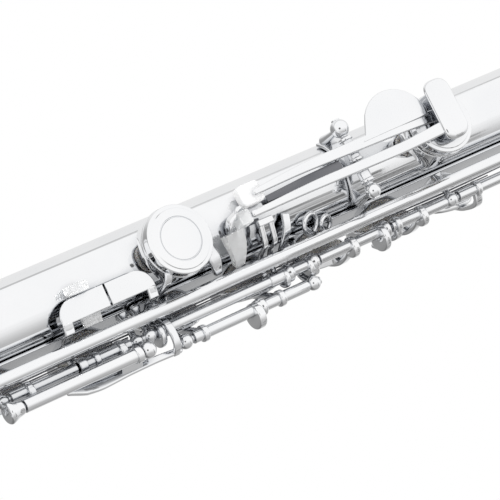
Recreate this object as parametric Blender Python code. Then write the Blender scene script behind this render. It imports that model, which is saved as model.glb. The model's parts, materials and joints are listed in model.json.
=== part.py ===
"""Concert flute in C: closed G sharp, offset G, thumb keys on a cross rod, C foot.

Frame: +X runs along the bore from the crown's flat end to the foot, +Z is the side of the key
cups, and -Y is the player's side.  The origin is the centre of the crown's end face.
Lengths in this file are millimetres; node() turns them into metres.
"""
import math

import bmesh
import bpy
from mathutils import Matrix, Vector

MM = 0.001
GAP = 0.3  # clearance between neighbouring solids

# ---------------------------------------------------------------- driving dimensions
LENGTH = 670.0
TUBE_R = 9.9
BORE_R = 9.5
HEAD_R = 8.9  # head joint at the crown, where the bore tapers in
HEAD_BORE_R = 8.5
EMBOUCHURE_X = 69.0
STOPPER_TO_EMBOUCHURE = 17.0

CROWN_END = 12.0
BARREL = (198.0, 250.0)
HEAD_END = 238.0
BODY = (240.0, 551.0)
SOCKET = (541.5, 553.5)
SLEEVE_R = 10.95
FOOT_START = 551.6

# Distance of each tone hole from the embouchure, and its angle from the top towards the player.
HOLE_FROM_EMBOUCHURE = {
    "ds_trill": 194.0, "d_trill": 209.0, "c_sharp": 234.0, "thumb": 272.0, "a_sharp": 286.0,
    "a": 308.5, "g_upper": 331.5, "g_lower": 356.0, "g_sharp": 356.0, "f_sharp": 381.0,
    "f": 407.5, "e": 435.0, "d": 465.0, "foot_ds": 496.0, "foot_cs": 529.0, "foot_c": 564.0,
}
HOLE_X = {name: EMBOUCHURE_X + far for name, far in HOLE_FROM_EMBOUCHURE.items()}
HOLE_ANGLE = dict.fromkeys(HOLE_X, 0.0)
HOLE_ANGLE.update(g_upper=6.0, g_lower=6.0, g_sharp=123.7, thumb=126.0)
SMALL = ("ds_trill", "d_trill", "c_sharp")
HOLE_TOP = 12.2  # height of a tone hole's rim over the bore axis

CUP_R = {name: 8.9 for name in HOLE_X}
CUP_R.update(ds_trill=5.0, d_trill=5.0, c_sharp=5.2, thumb=8.4)
CUP_BASE = 0.9  # rim of a closed cup over the tone hole
CUP_HEIGHT = 4.2
CUP_WALL = 0.5
PAD_THICK = 2.4

# The link plates of the mechanism face this way, measured from the top towards the player.
REAR = 118.0


def face_point(angle, x, across, out):
    """A point over the tube: out from the bore axis at an angle, and across along the tangent."""
    turn = math.radians(angle)
    y = across * math.cos(turn) - out * math.sin(turn)
    z = across * math.sin(turn) + out * math.cos(turn)
    return Vector((x, y, z))


def rear(across, out):
    return face_point(REAR, 0.0, across, out)


# Rod axes, as points of the cross-section.
MAIN_ROD = rear(16.5, 7.0)
TRILL_ROD = rear(12.1, 10.2)
OFFSET_ROD = rear(21.3, 7.2)
SHARP_ROD = rear(19.4, 10.5)
STEEL_R = 0.8
HINGE_R = 1.5
LONG_TUBE_R = 1.65
COLLAR_R = 2.05
BALL_R = 1.9
RIB_ANGLE = 60.5
RIB_OUT = (TUBE_R + GAP, 11.0)

THUMB_X = 368.0  # cross rod of the thumb keys
THUMB_ANGLE = 126.0
THUMB_OUT = 14.5

OPEN = math.radians(9.3)  # an open cup stands this far off its tone hole
OPEN_THUMB = math.radians(4.0)

# ---------------------------------------------------------------- materials
FINISHES = {
    "silver": ((0.87, 0.88, 0.90), 0.12, 1.0),
    "steel": ((0.56, 0.57, 0.59), 0.25, 1.0),
    "pad_skin": ((0.86, 0.72, 0.50), 0.55, 0.0),
    "cork": ((0.62, 0.44, 0.27), 0.85, 0.0),
    "felt": ((0.95, 0.95, 0.94), 0.95, 0.0),
    "clear_rubber": ((0.86, 0.88, 0.88), 0.25, 0.0),
}


def material(name):
    made = bpy.data.materials.get(name)
    if made:
        return made
    colour, roughness, metallic = FINISHES[name]
    made = bpy.data.materials.new(name)
    made.use_nodes = True
    shader = made.node_tree.nodes["Principled BSDF"]
    shader.inputs["Base Color"].default_value = (*colour, 1.0)
    shader.inputs["Roughness"].default_value = roughness
    shader.inputs["Metallic"].default_value = metallic
    return made


# ---------------------------------------------------------------- solids
def loft(rings, loop=False):
    """A closed solid through rings of points. With loop the last ring joins the first."""
    made = bmesh.new()
    lines = [[made.verts.new(point) for point in ring] for ring in rings]
    count = len(lines[0])
    pairs = list(zip(lines, lines[1:]))
    if loop:
        pairs.append((lines[-1], lines[0]))
    for first, second in pairs:
        for i in range(count):
            j = (i + 1) % count
            made.faces.new((first[i], first[j], second[j], second[i]))
    if not loop:
        made.faces.new(lines[0])
        made.faces.new(lines[-1])
    bmesh.ops.recalc_face_normals(made, faces=made.faces)
    return made


def turned(origin, axis, profile, sides, loop=False):
    """A solid of revolution. profile holds (distance along the axis, radius) pairs."""
    axis = Vector(axis).normalized()
    first = axis.orthogonal().normalized()
    second = axis.cross(first)
    rings = []
    for along, radius in profile:
        centre = Vector(origin) + axis * along
        ring = []
        for i in range(sides):
            turn = 2 * math.pi * (i + 0.5) / sides
            ring.append(centre + radius * (math.cos(turn) * first + math.sin(turn) * second))
        rings.append(ring)
    return loft(rings, loop)


def rod(centre, x0, x1, radius, sides=8):
    """A cylinder along X through a point of the cross-section."""
    start = Vector((x0, centre.y, centre.z))
    return turned(start, (1, 0, 0), [(0, radius), (x1 - x0, radius)], sides)


def pipe(profile, sides=20):
    """A tube about the bore axis. profile is a closed run of (x, radius) pairs."""
    return turned((0, 0, 0), (1, 0, 0), profile, sides, loop=True)


def ball(centre, radius, sides=8):
    """A post's ball, turned about X."""
    steps = (-0.94, -0.5, 0.5, 0.94)
    profile = [(radius * s, radius * math.sqrt(1 - s * s)) for s in steps]
    return turned(centre, (1, 0, 0), profile, sides)


def strap(points, side, width, thick, ends=(1.0, 1.0)):
    """A bar of rectangular section along points. side is the direction of its width."""
    side = Vector(side).normalized()
    last = len(points) - 1
    rings = []
    for i, point in enumerate(points):
        run = (points[min(i + 1, last)] - points[max(i - 1, 0)]).normalized()
        across = (side - run * side.dot(run)).normalized()
        up = run.cross(across)
        grow = ends[0] + (ends[1] - ends[0]) * i / last
        w, t = across * (width * grow / 2), up * (thick / 2)
        rings.append([point + w + t, point - w + t, point - w - t, point + w - t])
    return loft(rings)


def slab(outline, low, high):
    """A flat plate: the outline's points at the low level joined to those at the high level."""
    return loft([[low(a, b) for a, b in outline], [high(a, b) for a, b in outline]])


def swung(solids, centre, turn):
    """The solids turned about a rod along X."""
    move = (
        Matrix.Translation((0, centre.y, centre.z))
        @ Matrix.Rotation(turn, 4, "X")
        @ Matrix.Translation((0, -centre.y, -centre.z))
    )
    for solid in solids:
        bmesh.ops.transform(solid, matrix=move, verts=solid.verts)
    return solids


# ---------------------------------------------------------------- nodes
def as_object(name, solid, offset):
    bmesh.ops.transform(solid, matrix=Matrix.Translation(-offset), verts=solid.verts)
    bmesh.ops.scale(solid, vec=(MM, MM, MM), verts=solid.verts)
    mesh = bpy.data.meshes.new(name)
    solid.to_mesh(mesh)
    solid.free()
    made = bpy.data.objects.new(name, mesh)
    bpy.context.scene.collection.objects.link(made)
    return made


def pivot(name, place):
    """An empty on a joint's axis; the pieces that turn there are its children."""
    empty = bpy.data.objects.new("pivot_" + name, None)
    empty.location = Vector(place) * MM
    bpy.context.scene.collection.objects.link(empty)
    return empty


def node(name, finish, solids, cuts=(), parent=None):
    """One named piece: its solids united, with the cuts taken away."""
    offset = parent.location / MM if parent else Vector((0, 0, 0))
    base = as_object(name, solids[0], offset)
    helpers = []
    for operation, group in (("UNION", solids[1:]), ("DIFFERENCE", cuts)):
        for solid in group:
            helper = as_object(name + "_helper", solid, offset)
            helpers.append(helper)
            step = base.modifiers.new(operation.lower(), "BOOLEAN")
            step.operation = operation
            step.solver = "EXACT"
            step.object = helper
    if helpers:
        graph = bpy.context.evaluated_depsgraph_get()
        baked = bpy.data.meshes.new_from_object(base.evaluated_get(graph))
        base.modifiers.clear()
        base.data = baked
        for helper in helpers:
            bpy.data.objects.remove(helper)
    base.data.materials.clear()
    base.data.materials.append(material(finish))
    base.data.shade_smooth()
    base.data.set_sharp_from_angle(angle=math.radians(30))
    if parent:
        base.parent = parent
    return base


# ---------------------------------------------------------------- head joint
def head_radius(x, at_crown, at_barrel):
    share = min(1.0, max(0.0, (x - CROWN_END) / (BARREL[0] - CROWN_END)))
    return at_crown + (at_barrel - at_crown) * share


def oval(half_x, half_y, height, sides=20):
    """A ring of points round the embouchure; height gives z from (x offset, y)."""
    ring = []
    for i in range(sides):
        turn = 2 * math.pi * i / sides
        a, b = half_x * math.cos(turn), half_y * math.sin(turn)
        ring.append(Vector((EMBOUCHURE_X + a, b, height(a, b))))
    return ring


LIP_X, LIP_Y = 24.0, 16.0  # half sizes of the lip plate
HOLE_HALF = (6.1, 5.2)  # half sizes of the embouchure hole
LIP_RISE = 5.0


def lip_height(a, b):
    """Upper face of the lip plate: a flatter curve than the tube that meets it at the rim."""
    reach = (a / LIP_X) ** 2 + (b / LIP_Y) ** 2
    return HEAD_R + 0.3 + LIP_RISE - 2.6 * reach - 8.8 * (b / LIP_Y) ** 2


def make_head():
    top = CROWN_END
    tube = pipe([
        (top, HEAD_R), (BARREL[0], TUBE_R), (HEAD_END, TUBE_R),
        (HEAD_END, BORE_R), (BARREL[0], BORE_R), (top, HEAD_BORE_R),
    ])
    window = loft([oval(6.6, 5.7, lambda a, b: 4.0), oval(6.6, 5.7, lambda a, b: 14.0)])
    node("head_tube", "silver", [tube], [window])

    def under(a, b):
        return lip_height(a, b) - 1.1

    sizes = [HOLE_HALF, (9.5, 8.0), (17.0, 12.2), (LIP_X, LIP_Y)]
    faces = [oval(*size, lip_height) for size in sizes]
    faces += [oval(*size, under) for size in reversed(sizes)]
    node("lip_plate", "silver", [loft(faces, loop=True)])

    wall = HEAD_R + 0.35 + GAP  # the chimney stands on the tube's outer face

    def foot(a, b):
        return math.sqrt(wall**2 - b * b)

    def crest(a, b):
        return under(a, b) - GAP

    rings = [oval(6.1, 5.2, foot), oval(7.3, 6.4, foot), oval(7.1, 6.2, crest), oval(6.1, 5.2, crest)]
    node("riser", "silver", [loft(rings, loop=True)])

    cork_face = EMBOUCHURE_X - STOPPER_TO_EMBOUCHURE
    crown_line = [
        (0, 5.6), (0.8, 7.0), (2.6, 8.3), (5.0, 8.9), (7.6, 8.6), (8.6, 9.3), (11.6, 9.3),
        (11.6, 2.5), (3.0, 2.5), (3.0, 0.4),
    ]
    crown = turned((0, 0, 0), (1, 0, 0), crown_line, 20)
    node("crown", "silver", [crown], parent=pivot("crown", (CROWN_END / 2, 0, 0)))

    # The screw carries the reflector disc and stands free in the crown, cork and nut.
    slide = pivot("stopper", (cork_face, 0, 0))
    screw_line = [(5.0, 2.1), (cork_face - 1.2, 2.1), (cork_face - 1.2, 8.2), (cork_face, 8.2)]
    node("stopper_screw", "silver", [turned((0, 0, 0), (1, 0, 0), screw_line, 16)], parent=slide)
    cork_line = [(34.0, 8.2), (50.4, 8.2), (50.4, 2.4), (34.0, 2.4)]
    node("stopper_cork", "cork", [pipe(cork_line, 20)], parent=slide)
    nut_line = [(31.6, 7.0), (33.6, 7.0), (33.6, 2.4), (31.6, 2.4)]
    node("stopper_nut", "silver", [pipe(nut_line, 16)], parent=slide)


# ---------------------------------------------------------------- tubes
def chimney(name):
    """(outer wall, opening) of a tone hole as two cylinders through the tube's wall."""
    centre = face_point(HOLE_ANGLE[name], HOLE_X[name], 0, 0)
    out = face_point(HOLE_ANGLE[name], 0, 0, 1)
    radius = 3.5 if name in SMALL else 6.6
    sides = 12 if name in SMALL else 16
    wall = turned(centre, out, [(TUBE_R - 3.6, radius + 0.6), (HOLE_TOP, radius + 0.6)], sides)
    opening = turned(centre, out, [(TUBE_R - 5.6, radius), (HOLE_TOP + 2, radius)], sides)
    return wall, opening


def make_tubes():
    x0, x1 = BARREL
    sleeve = pipe([
        (x0, SLEEVE_R + 0.5), (x0 + 3, SLEEVE_R + 0.5), (x0 + 4, SLEEVE_R), (x1 - 3, SLEEVE_R),
        (x1 - 2, SLEEVE_R + 0.4), (x1, SLEEVE_R + 0.4), (x1, TUBE_R + GAP), (x0, TUBE_R + GAP),
    ])
    node("barrel", "silver", [sleeve])

    # The bore is cut last, so that the walls of the tone holes end flush inside.
    body = rod(Vector((0, 0, 0)), *BODY, TUBE_R, 20)
    holes = [chimney(name) for name in HOLE_X if HOLE_X[name] < BODY[1]]
    bore = rod(Vector((0, 0, 0)), BODY[0] - 5, BODY[1] + 5, BORE_R, 20)
    node("body_tube", "silver", [body] + [h[0] for h in holes], [bore] + [h[1] for h in holes])

    foot = bpy.data.objects.new("pivot_foot", None)
    foot.location = Vector((SOCKET[0], 0, 0)) * MM
    bpy.context.scene.collection.objects.link(foot)
    shell = turned((0, 0, 0), (1, 0, 0), [
        (SOCKET[0], SLEEVE_R), (SOCKET[1], SLEEVE_R), (SOCKET[1] + 0.6, TUBE_R),
        (LENGTH - 3, TUBE_R), (LENGTH - 2.4, TUBE_R + 0.5), (LENGTH, TUBE_R + 0.5),
    ], 20)
    holes = [chimney(name) for name in HOLE_X if HOLE_X[name] > BODY[1]]
    socket = rod(Vector((0, 0, 0)), SOCKET[0] - 5, FOOT_START, TUBE_R + GAP, 20)
    bore = rod(Vector((0, 0, 0)), FOOT_START - 1, LENGTH + 5, BORE_R, 20)
    node("foot_tube", "silver", [shell] + [h[0] for h in holes],
         [socket, bore] + [h[1] for h in holes], parent=foot)
    return foot


# ---------------------------------------------------------------- ribs, posts and steels
def rib(angle, x0, x1, width):
    """A strap bent round the tube, on which posts stand."""
    half = math.degrees(width / 2 / TUBE_R)
    count = max(2, round(width / 4))
    steps = [angle + half * (2 * i / count - 1) for i in range(count + 1)]

    def ring(x):
        low = [face_point(a, x, 0, RIB_OUT[0]) for a in steps]
        high = [face_point(a, x, 0, RIB_OUT[1]) for a in reversed(steps)]
        return low + high

    return loft([ring(x0), ring(x1)])


def post(place, x, angle, radius=BALL_R, via=()):
    """A post's neck and ball. It stands on the rib at an angle and may bend on its way."""
    foot = face_point(angle, x, 0, RIB_OUT[1] - 0.5)
    end = Vector((x, place.y, place.z))
    steps = [foot] + [Vector((x, p.y, p.z)) for p in via] + [end]
    neck = strap(steps, (1, 0, 0), 1.6, 1.6, ends=(1.2, 0.9))
    return [neck, ball(end, radius)]


MAIN_POSTS = (296.5, 340.8, 438.4)
RIGHT_POSTS = (442.2, 480.8, 518.0, 539.2)
OFFSET_POSTS = (389.8, 430.0)
SHARP_POSTS = (442.2, 480.8)
TRILL_POSTS = ((255.0, 270.0), (494.0, 526.0))
FOOT_POSTS = (557.6, 610.6, 646.0)


def make_posts(foot):
    # Offset G posts pass between the G cups and the main rod, then over it.
    lean = (rear(14.9, 4.2), rear(18.3, 3.4))
    solids = [rib(RIB_ANGLE, MAIN_POSTS[0] - 4, MAIN_POSTS[-1] + 1.3, 2.6)]
    for x in MAIN_POSTS:
        solids += post(MAIN_ROD, x, RIB_ANGLE - 3)
    for x in OFFSET_POSTS:
        solids += post(OFFSET_ROD, x, RIB_ANGLE - 5, via=lean)
    bores = [rod(MAIN_ROD, MAIN_POSTS[0] - 1.4, 450, STEEL_R + GAP, 8),
             rod(OFFSET_ROD, OFFSET_POSTS[0] - 1.4, OFFSET_POSTS[1] + 1.4, STEEL_R + GAP, 8)]
    node("left_hand_rib", "silver", solids, bores)

    # Two of these posts carry on past the main rod to hold the G sharp rod.
    solids = [rib(RIB_ANGLE, RIGHT_POSTS[0] - 1.6, RIGHT_POSTS[-1] + 1.3, 2.6)]
    for x in RIGHT_POSTS:
        solids += post(MAIN_ROD, x, RIB_ANGLE - 3, radius=1.7)
    for x in SHARP_POSTS:
        start, end = Vector((x, *MAIN_ROD.yz)), Vector((x, *SHARP_ROD.yz))
        solids.append(strap([start, end], (1, 0, 0), 1.6, 1.8))
        solids.append(ball(end, 2.1 if x < 460 else 2.6))
    bores = [rod(MAIN_ROD, 430, RIGHT_POSTS[-1] + 1.0, STEEL_R + GAP, 8),
             rod(SHARP_ROD, 430, SHARP_POSTS[1] + 1.6, STEEL_R + GAP, 8)]
    node("right_hand_rib", "silver", solids, bores)

    for name, (x0, x1) in zip(("trill_rib_head", "trill_rib_foot"), TRILL_POSTS):
        solids = [rib(78.0, x0 - 3, x1 + 3, 3.0)]
        for x in (x0, x1):
            solids += post(TRILL_ROD, x, 76.0)
        # The end posts are bored blind and the inner ones right through.
        inner = 5.0
        ends = (x0 - 1.4, x1 + inner) if x0 < 400 else (x0 - inner, x1 + 1.4)
        node(name, "silver", solids, [rod(TRILL_ROD, *ends, STEEL_R + GAP)])

    solids = [rib(RIB_ANGLE, FOOT_POSTS[0] - 1.6, FOOT_POSTS[-1] + 3, 2.6)]
    for x in FOOT_POSTS:
        solids += post(MAIN_ROD, x, RIB_ANGLE - 3)
    bore = rod(MAIN_ROD, FOOT_POSTS[0] - 1.4, FOOT_POSTS[-1] + 1.4, STEEL_R + GAP, 8)
    node("foot_rib", "silver", solids, [bore], parent=foot)

    # Thumb posts: two pillars beside the tube, joined by a saddle that follows it.
    saddle = rib(THUMB_ANGLE + 4, THUMB_X - 2.2, THUMB_X + 2.2, 19.4)
    solids = [saddle]
    for across, low in ((-9.2, 6.1), (8.5, 7.0)):
        foot_end = face_point(THUMB_ANGLE, THUMB_X, across, low)
        top = face_point(THUMB_ANGLE, THUMB_X, across, THUMB_OUT)
        solids.append(turned(foot_end, top - foot_end, [(0, 1.0), ((top - foot_end).length, 1.0)], 6))
        axis = face_point(THUMB_ANGLE, 0, 1, 0)
        r = 2.4 if across < 0 else 2.0
        profile = [(r * s, r * math.sqrt(1 - s * s)) for s in (-0.94, -0.5, 0.5, 0.94)]
        solids.append(turned(top, axis, profile, 8))
    start = face_point(THUMB_ANGLE, THUMB_X, -10.4, THUMB_OUT)
    bore = turned(start, axis, [(0, STEEL_R + GAP), (20.0, STEEL_R + GAP)], 8)
    node("thumb_saddle", "silver", solids, [bore])
    inner = turned(face_point(THUMB_ANGLE, THUMB_X, -10.2, THUMB_OUT), axis,
                   [(0, STEEL_R), (19.4, STEEL_R)], 8)
    node("thumb_steel", "steel", [inner])


def steel(name, centre, x0, x1, parent=None):
    node(name, "steel", [rod(centre, x0, x1, STEEL_R, 8)], parent=parent)


# ---------------------------------------------------------------- keys
def cup(name):
    """(cup metal, pad) of a tone hole's key in its closed place."""
    centre = face_point(HOLE_ANGLE[name], HOLE_X[name], 0, HOLE_TOP)
    out = face_point(HOLE_ANGLE[name], 0, 0, 1)
    radius = CUP_R[name]
    small = name in SMALL
    sides = 12 if small else 16
    top = CUP_HEIGHT - (0.8 if small else 0.0)
    seat = PAD_THICK + 2 * GAP - (0.8 if small else 0.0)
    # From the ceiling of the pad's seat, round the rim, to the top face.
    shell = turned(centre, out, [
        (seat, radius - CUP_WALL), (CUP_BASE, radius - CUP_WALL), (CUP_BASE, radius),
        (top - 0.9, radius), (top, radius - 0.9),
    ], sides)
    pad = turned(centre, out, [(GAP, radius - CUP_WALL - GAP - 0.3), (GAP + 0.5, radius - CUP_WALL - GAP),
                               (seat - GAP, radius - CUP_WALL - GAP)], sides)
    return [shell], pad


def over_arm(name, centre, x):
    """The arm from a collar on the rod over the cup's top to its middle, closed."""
    top = HOLE_TOP + CUP_HEIGHT + 0.35 - (0.8 if name in SMALL else 0.0)
    turn = HOLE_ANGLE[name]
    end = face_point(turn, HOLE_X[name], 0, top)
    level = face_point(turn, x, -CUP_R[name] - 0.2, top + 0.2)
    start = Vector((x, *centre.yz))
    steps = [start, level, end]
    if level.z - start.z > 3:
        steps.insert(1, Vector((x, start.y + 0.2, start.z + (level.z - start.z) * 0.72)))
    return strap(steps, (1, 0, 0), 2.4, 1.2, ends=(1.2, 0.7))


def hinge(centre, x0, x1, radius=HINGE_R):
    return rod(centre, x0, x1, radius)


def collar(centre, x, width=1.5):
    return rod(centre, x - width / 2, x + width / 2, COLLAR_R)


def key(name, centre, span, holes, extra=(), turn=OPEN, hinge_r=HINGE_R, parent=None):
    """A key on a rod along X: hinge tube, collars, arms and cups, standing open by turn.

    holes maps each tone hole to the place of its arm; extra solids are already at rest.
    """
    joint = pivot(name, ((span[0] + span[1]) / 2, *centre.yz))
    if parent:
        joint.parent = parent
        joint.matrix_parent_inverse = parent.matrix_world.inverted()
    solids = [hinge(centre, *span, hinge_r)]
    swing = []
    pads = []
    for hole, arm_x in holes.items():
        metal, pad = cup(hole)
        swing += metal + [over_arm(hole, centre, arm_x)]
        solids.append(collar(centre, arm_x))
        pads.append((hole, pad))
    solids += swung(swing, centre, turn) + list(extra)
    bore = rod(centre, span[0] - 3, span[1] + 3, STEEL_R + GAP, 8)
    node(name + "_key", "silver", solids, [bore], parent=joint)
    for hole, pad in pads:
        node(hole + "_pad", "pad_skin", swung([pad], centre, turn), parent=joint)
    return joint


def rear_leg(x0, x1, width, top_across, top_out=None):
    """A leg from the main rod, between the trill tube and the body, to the rear."""
    route = [(16.4, 5.2), (14.4, 5.0), (12.0, 5.6), (9.4, 7.7), (7.4, 10.2), (6.2, 11.6)]
    if top_out:
        route += top_out
    steps = []
    for i, (across, out) in enumerate(route):
        x = x0 + (x1 - x0) * min(1.0, i / 4)
        point = rear(across, out)
        point.x = x
        steps.append(point)
    return strap(steps, (1, 0, 0), width, 1.0)


PLATE_OUT = (11.3, 12.2)
PLATE_ACROSS = (0.9, 6.6)


def link_plate(corner_x, split_x):
    """Half of the split frame: a flat plate with one rounded corner."""
    away = 1 if corner_x > split_x else -1
    low, high = PLATE_ACROSS
    outline = [(split_x, low), (split_x, high), (corner_x, high)]
    reach = 4.6
    for i in range(4):
        turn = math.radians(90 * i / 3)
        outline.append((corner_x - away * reach * (1 - math.cos(turn)), low + reach * (1 - math.sin(turn))))
    return slab(outline,
                lambda x, a: face_point(REAR, x, a, PLATE_OUT[0]),
                lambda x, a: face_point(REAR, x, a, PLATE_OUT[1]))


def hook(centre, x, reach=4.2):
    """A short clutch arm that curls from a collar over the top of the rod."""
    start = Vector((x, *centre.yz))
    steps = [start, start + Vector((0, -0.6, 2.6)), start + Vector((0, 1.8, reach)),
             start + Vector((0, 4.6, reach + 0.5))]
    return strap(steps, (1, 0, 0), 2.0, 1.2, ends=(1.2, 0.6))


def touch_disc(x, y, radius, height):
    return turned((x, y, height), (0, 0, 1), [(0, radius - 0.5), (0.5, radius), (1.3, radius), (1.8, radius - 0.6)], 14)


def make_left_hand():
    # C sharp: the small cup near the head and the first finger's plate share one tube.
    plate = touch_disc(332.0, 0.0, 7.2, 15.4)
    arm = strap([Vector((332.0, *MAIN_ROD.yz)), Vector((332.0, -13.4, 15.4)),
                 Vector((332.0, -8.6, 17.0)), Vector((332.0, -1.0, 17.2))],
                (1, 0, 0), 2.4, 1.2, ends=(1.2, 0.7))
    extra = swung([plate, arm], MAIN_ROD, OPEN) + [collar(MAIN_ROD, 332.0)]
    key("c_sharp", MAIN_ROD, (298.7, 338.5), {"c_sharp": 303.0}, extra)

    joint = key("a_sharp", MAIN_ROD, (343.0, 361.6), {"a_sharp": 351.5}, [hook(MAIN_ROD, 359.8)])
    steel("main_steel", MAIN_ROD, 295.3, 439.6, joint)

    # The sleeve is pinned to the same steel as A sharp: thumb lug, rings and half the link frame.
    legs = [rear_leg(397.6, 397.6, 1.2, 0, [(4.4, 12.3), (2.6, 12.8)]),
            rear_leg(400.6, 400.6, 1.2, 0, [(4.4, 12.3), (2.6, 12.8)])]
    head = slab([(396.8, 1.7), (401.4, 1.7), (401.4, 3.4), (396.8, 3.4)],
                lambda x, a: face_point(REAR, x, a, 12.2),
                lambda x, a: face_point(REAR, x, a, 13.4))
    solids = [hinge(MAIN_ROD, 386.2, 436.3), collar(MAIN_ROD, 387.3), collar(MAIN_ROD, 395.4),
              rod(MAIN_ROD, 396.5, 401.7, 1.8), rod(MAIN_ROD, 435.0, 436.3, COLLAR_R)]
    solids += legs + [head, rear_leg(435.7, 435.7, 1.3, 0), link_plate(434.7, 446.6)]
    solids.append(hook(MAIN_ROD, 387.3, 3.6))
    node("link_sleeve", "silver", solids, [rod(MAIN_ROD, 380, 440, STEEL_R + GAP, 8)], parent=joint)

    key("a", MAIN_ROD, (363.0, 385.6), {"a": 374.8}, [hook(MAIN_ROD, 364.0, 5.0)])
    steel("offset_g_steel", OFFSET_ROD, OFFSET_POSTS[0] - 1.2, OFFSET_POSTS[1] + 1.2)
    key("g", OFFSET_ROD, (392.0, 427.7), {"g_upper": 400.5, "g_lower": 424.5},
        [hook(OFFSET_ROD, 407.5, 2.6)], turn=math.radians(7.6))


def make_g_sharp():
    """Sprung shut. The lever lies past its rod, so that pressing it lifts the cup at the rear."""
    joint = pivot("g_sharp", (460.0, *SHARP_ROD.yz))
    metal, pad = cup("g_sharp")
    route = [(433.9, 23.2, 8.0), (433.9, 20.6, 10.1), (433.9, 17.2, 9.9), (433.9, 14.75, 8.55),
             (433.9, 13.4, 6.9), (433.9, 11.6, 6.1), (433.6, 9.6, 7.4), (432.6, 8.4, 9.4),
             (431.9, 7.4, 11.8), (431.5, 6.4, 13.8), (431.2, 4.9, 14.6)]
    steps = [face_point(REAR, *place) for place in route]
    arm = strap(steps, (1, 0, 0), 1.6, 0.9)
    blade_route = [(432.7, 23.2, 8.0), (440.0, 23.3, 8.2), (452.0, 23.2, 8.6), (460.0, 22.6, 9.2), (465.0, 21.4, 10.0)]
    blade = strap([face_point(REAR, *p) for p in blade_route], face_point(REAR, 0, 0.5, 1), 3.0, 1.1,
                  ends=(0.6, 0.9))
    web = strap([face_point(REAR, 447.0, 19.4, 10.5), face_point(REAR, 447.0, 23.2, 8.5)],
                (1, 0, 0), 6.0, 1.2)
    solids = [hinge(SHARP_ROD, 444.4, 477.9, LONG_TUBE_R)] + metal + [arm, blade, web]
    bore = rod(SHARP_ROD, 443.0, 479.0, STEEL_R + GAP, 8)
    node("g_sharp_key", "silver", solids, [bore], parent=joint)
    node("g_sharp_pad", "pad_skin", [pad], parent=joint)
    steel("g_sharp_steel", SHARP_ROD, SHARP_POSTS[0] - 1.2, SHARP_POSTS[1] + 1.2)


def thumb_point(x, across, out):
    return face_point(THUMB_ANGLE, x, across, out)


def tipped(solids):
    """The solids turned open about the thumb rod."""
    centre = thumb_point(THUMB_X, 0, THUMB_OUT)
    axis = thumb_point(0, 1, 0)
    move = Matrix.Translation(centre) @ Matrix.Rotation(OPEN_THUMB, 4, axis) @ Matrix.Translation(-centre)
    for solid in solids:
        bmesh.ops.transform(solid, matrix=move, verts=solid.verts)
    return solids


def thumb_block(x0, x1, a0, a1, low, high):
    return slab([(x0, a0), (x1, a0), (x1, a1), (x0, a1)],
                lambda x, a: thumb_point(x, a, low), lambda x, a: thumb_point(x, a, high))


def make_thumb():
    """Two see-saw levers on the cross rod: B with the cup, B flat with the raised bar."""
    axis = thumb_point(0, 1, 0)
    level = 16.9  # arms over the bore axis
    joint = pivot("thumb_b", thumb_point(THUMB_X, -3.2, THUMB_OUT))
    metal, pad = cup("thumb")
    barrel = turned(thumb_point(THUMB_X, -6.4, THUMB_OUT), axis, [(0, HINGE_R + 0.1), (6.5, HINGE_R + 0.1)], 10)
    arm = strap([thumb_point(399.0, -3.2, level - 0.4), thumb_point(THUMB_X, -3.2, level),
                 thumb_point(354.0, -2.9, level), thumb_point(345.0, -2.4, level - 0.35),
                 thumb_point(341.5, -2.0, level - 0.45)],
                axis, 3.0, 1.2, ends=(0.75, 1.1))
    outline = [(363.0, -3.0), (344.0, -3.0)]
    for i in range(7):
        turn = math.radians(12 + 156 * i / 6)
        outline.append((353.5 - 9.0 * math.cos(turn), -3.6 - 9.0 * math.sin(turn)))
    plate = slab(outline, lambda x, a: thumb_point(x, a, level - 0.27), lambda x, a: thumb_point(x, a, level + 0.77))
    bore = turned(thumb_point(THUMB_X, -8, THUMB_OUT), axis, [(0, STEEL_R + GAP), (16, STEEL_R + GAP)], 8)
    web = thumb_block(THUMB_X - 1.2, THUMB_X + 1.2, -4.4, -2.0, THUMB_OUT + 0.9, level)
    node("thumb_b_key", "silver", tipped([barrel, arm, web, plate] + metal), [bore], parent=joint)
    node("thumb_pad", "pad_skin", tipped([pad]), parent=joint)
    felt = thumb_block(396.2, 402.6, -6.0, -0.6, 12.4, level - 1.4)
    node("thumb_stop_felt", "felt", tipped([felt]), parent=joint)

    joint = pivot("thumb_b_flat", thumb_point(THUMB_X, 3.4, THUMB_OUT))
    barrel = turned(thumb_point(THUMB_X, 0.4, THUMB_OUT), axis, [(0, HINGE_R + 0.1), (5.6, HINGE_R + 0.1)], 10)
    arm = strap([thumb_point(402.0, 1.9, level - 0.4), thumb_point(THUMB_X, 1.9, level),
                 thumb_point(356.0, 2.1, level + 0.4), thumb_point(350.5, 2.1, level + 1.7),
                 thumb_point(346.0, 2.0, level + 2.7), thumb_point(342.0, 1.8, level + 3.2)],
                axis, 2.6, 1.2, ends=(0.8, 1.1))
    bar = strap([thumb_point(341.0, 5.6, level + 2.8), thumb_point(340.2, 3.0, level + 3.4),
                 thumb_point(339.6, -2.0, level + 3.8), thumb_point(339.4, -8.0, level + 3.5),
                 thumb_point(339.6, -11.6, level + 2.2)],
                (1, 0, 0), 7.0, 1.6, ends=(0.8, 0.9))
    bore = turned(thumb_point(THUMB_X, -2, THUMB_OUT), axis, [(0, STEEL_R + GAP), (16, STEEL_R + GAP)], 8)
    web = thumb_block(THUMB_X - 1.2, THUMB_X + 1.2, 0.8, 3.0, THUMB_OUT + 0.9, level)
    node("thumb_b_flat_lever", "silver", tipped([barrel, arm, web, bar]), [bore], parent=joint)
    bumper = thumb_block(403.0, 406.4, 0.0, 3.6, 12.6, level + 0.2)
    node("kicker_bumper", "clear_rubber", tipped([bumper]), parent=joint)


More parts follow.
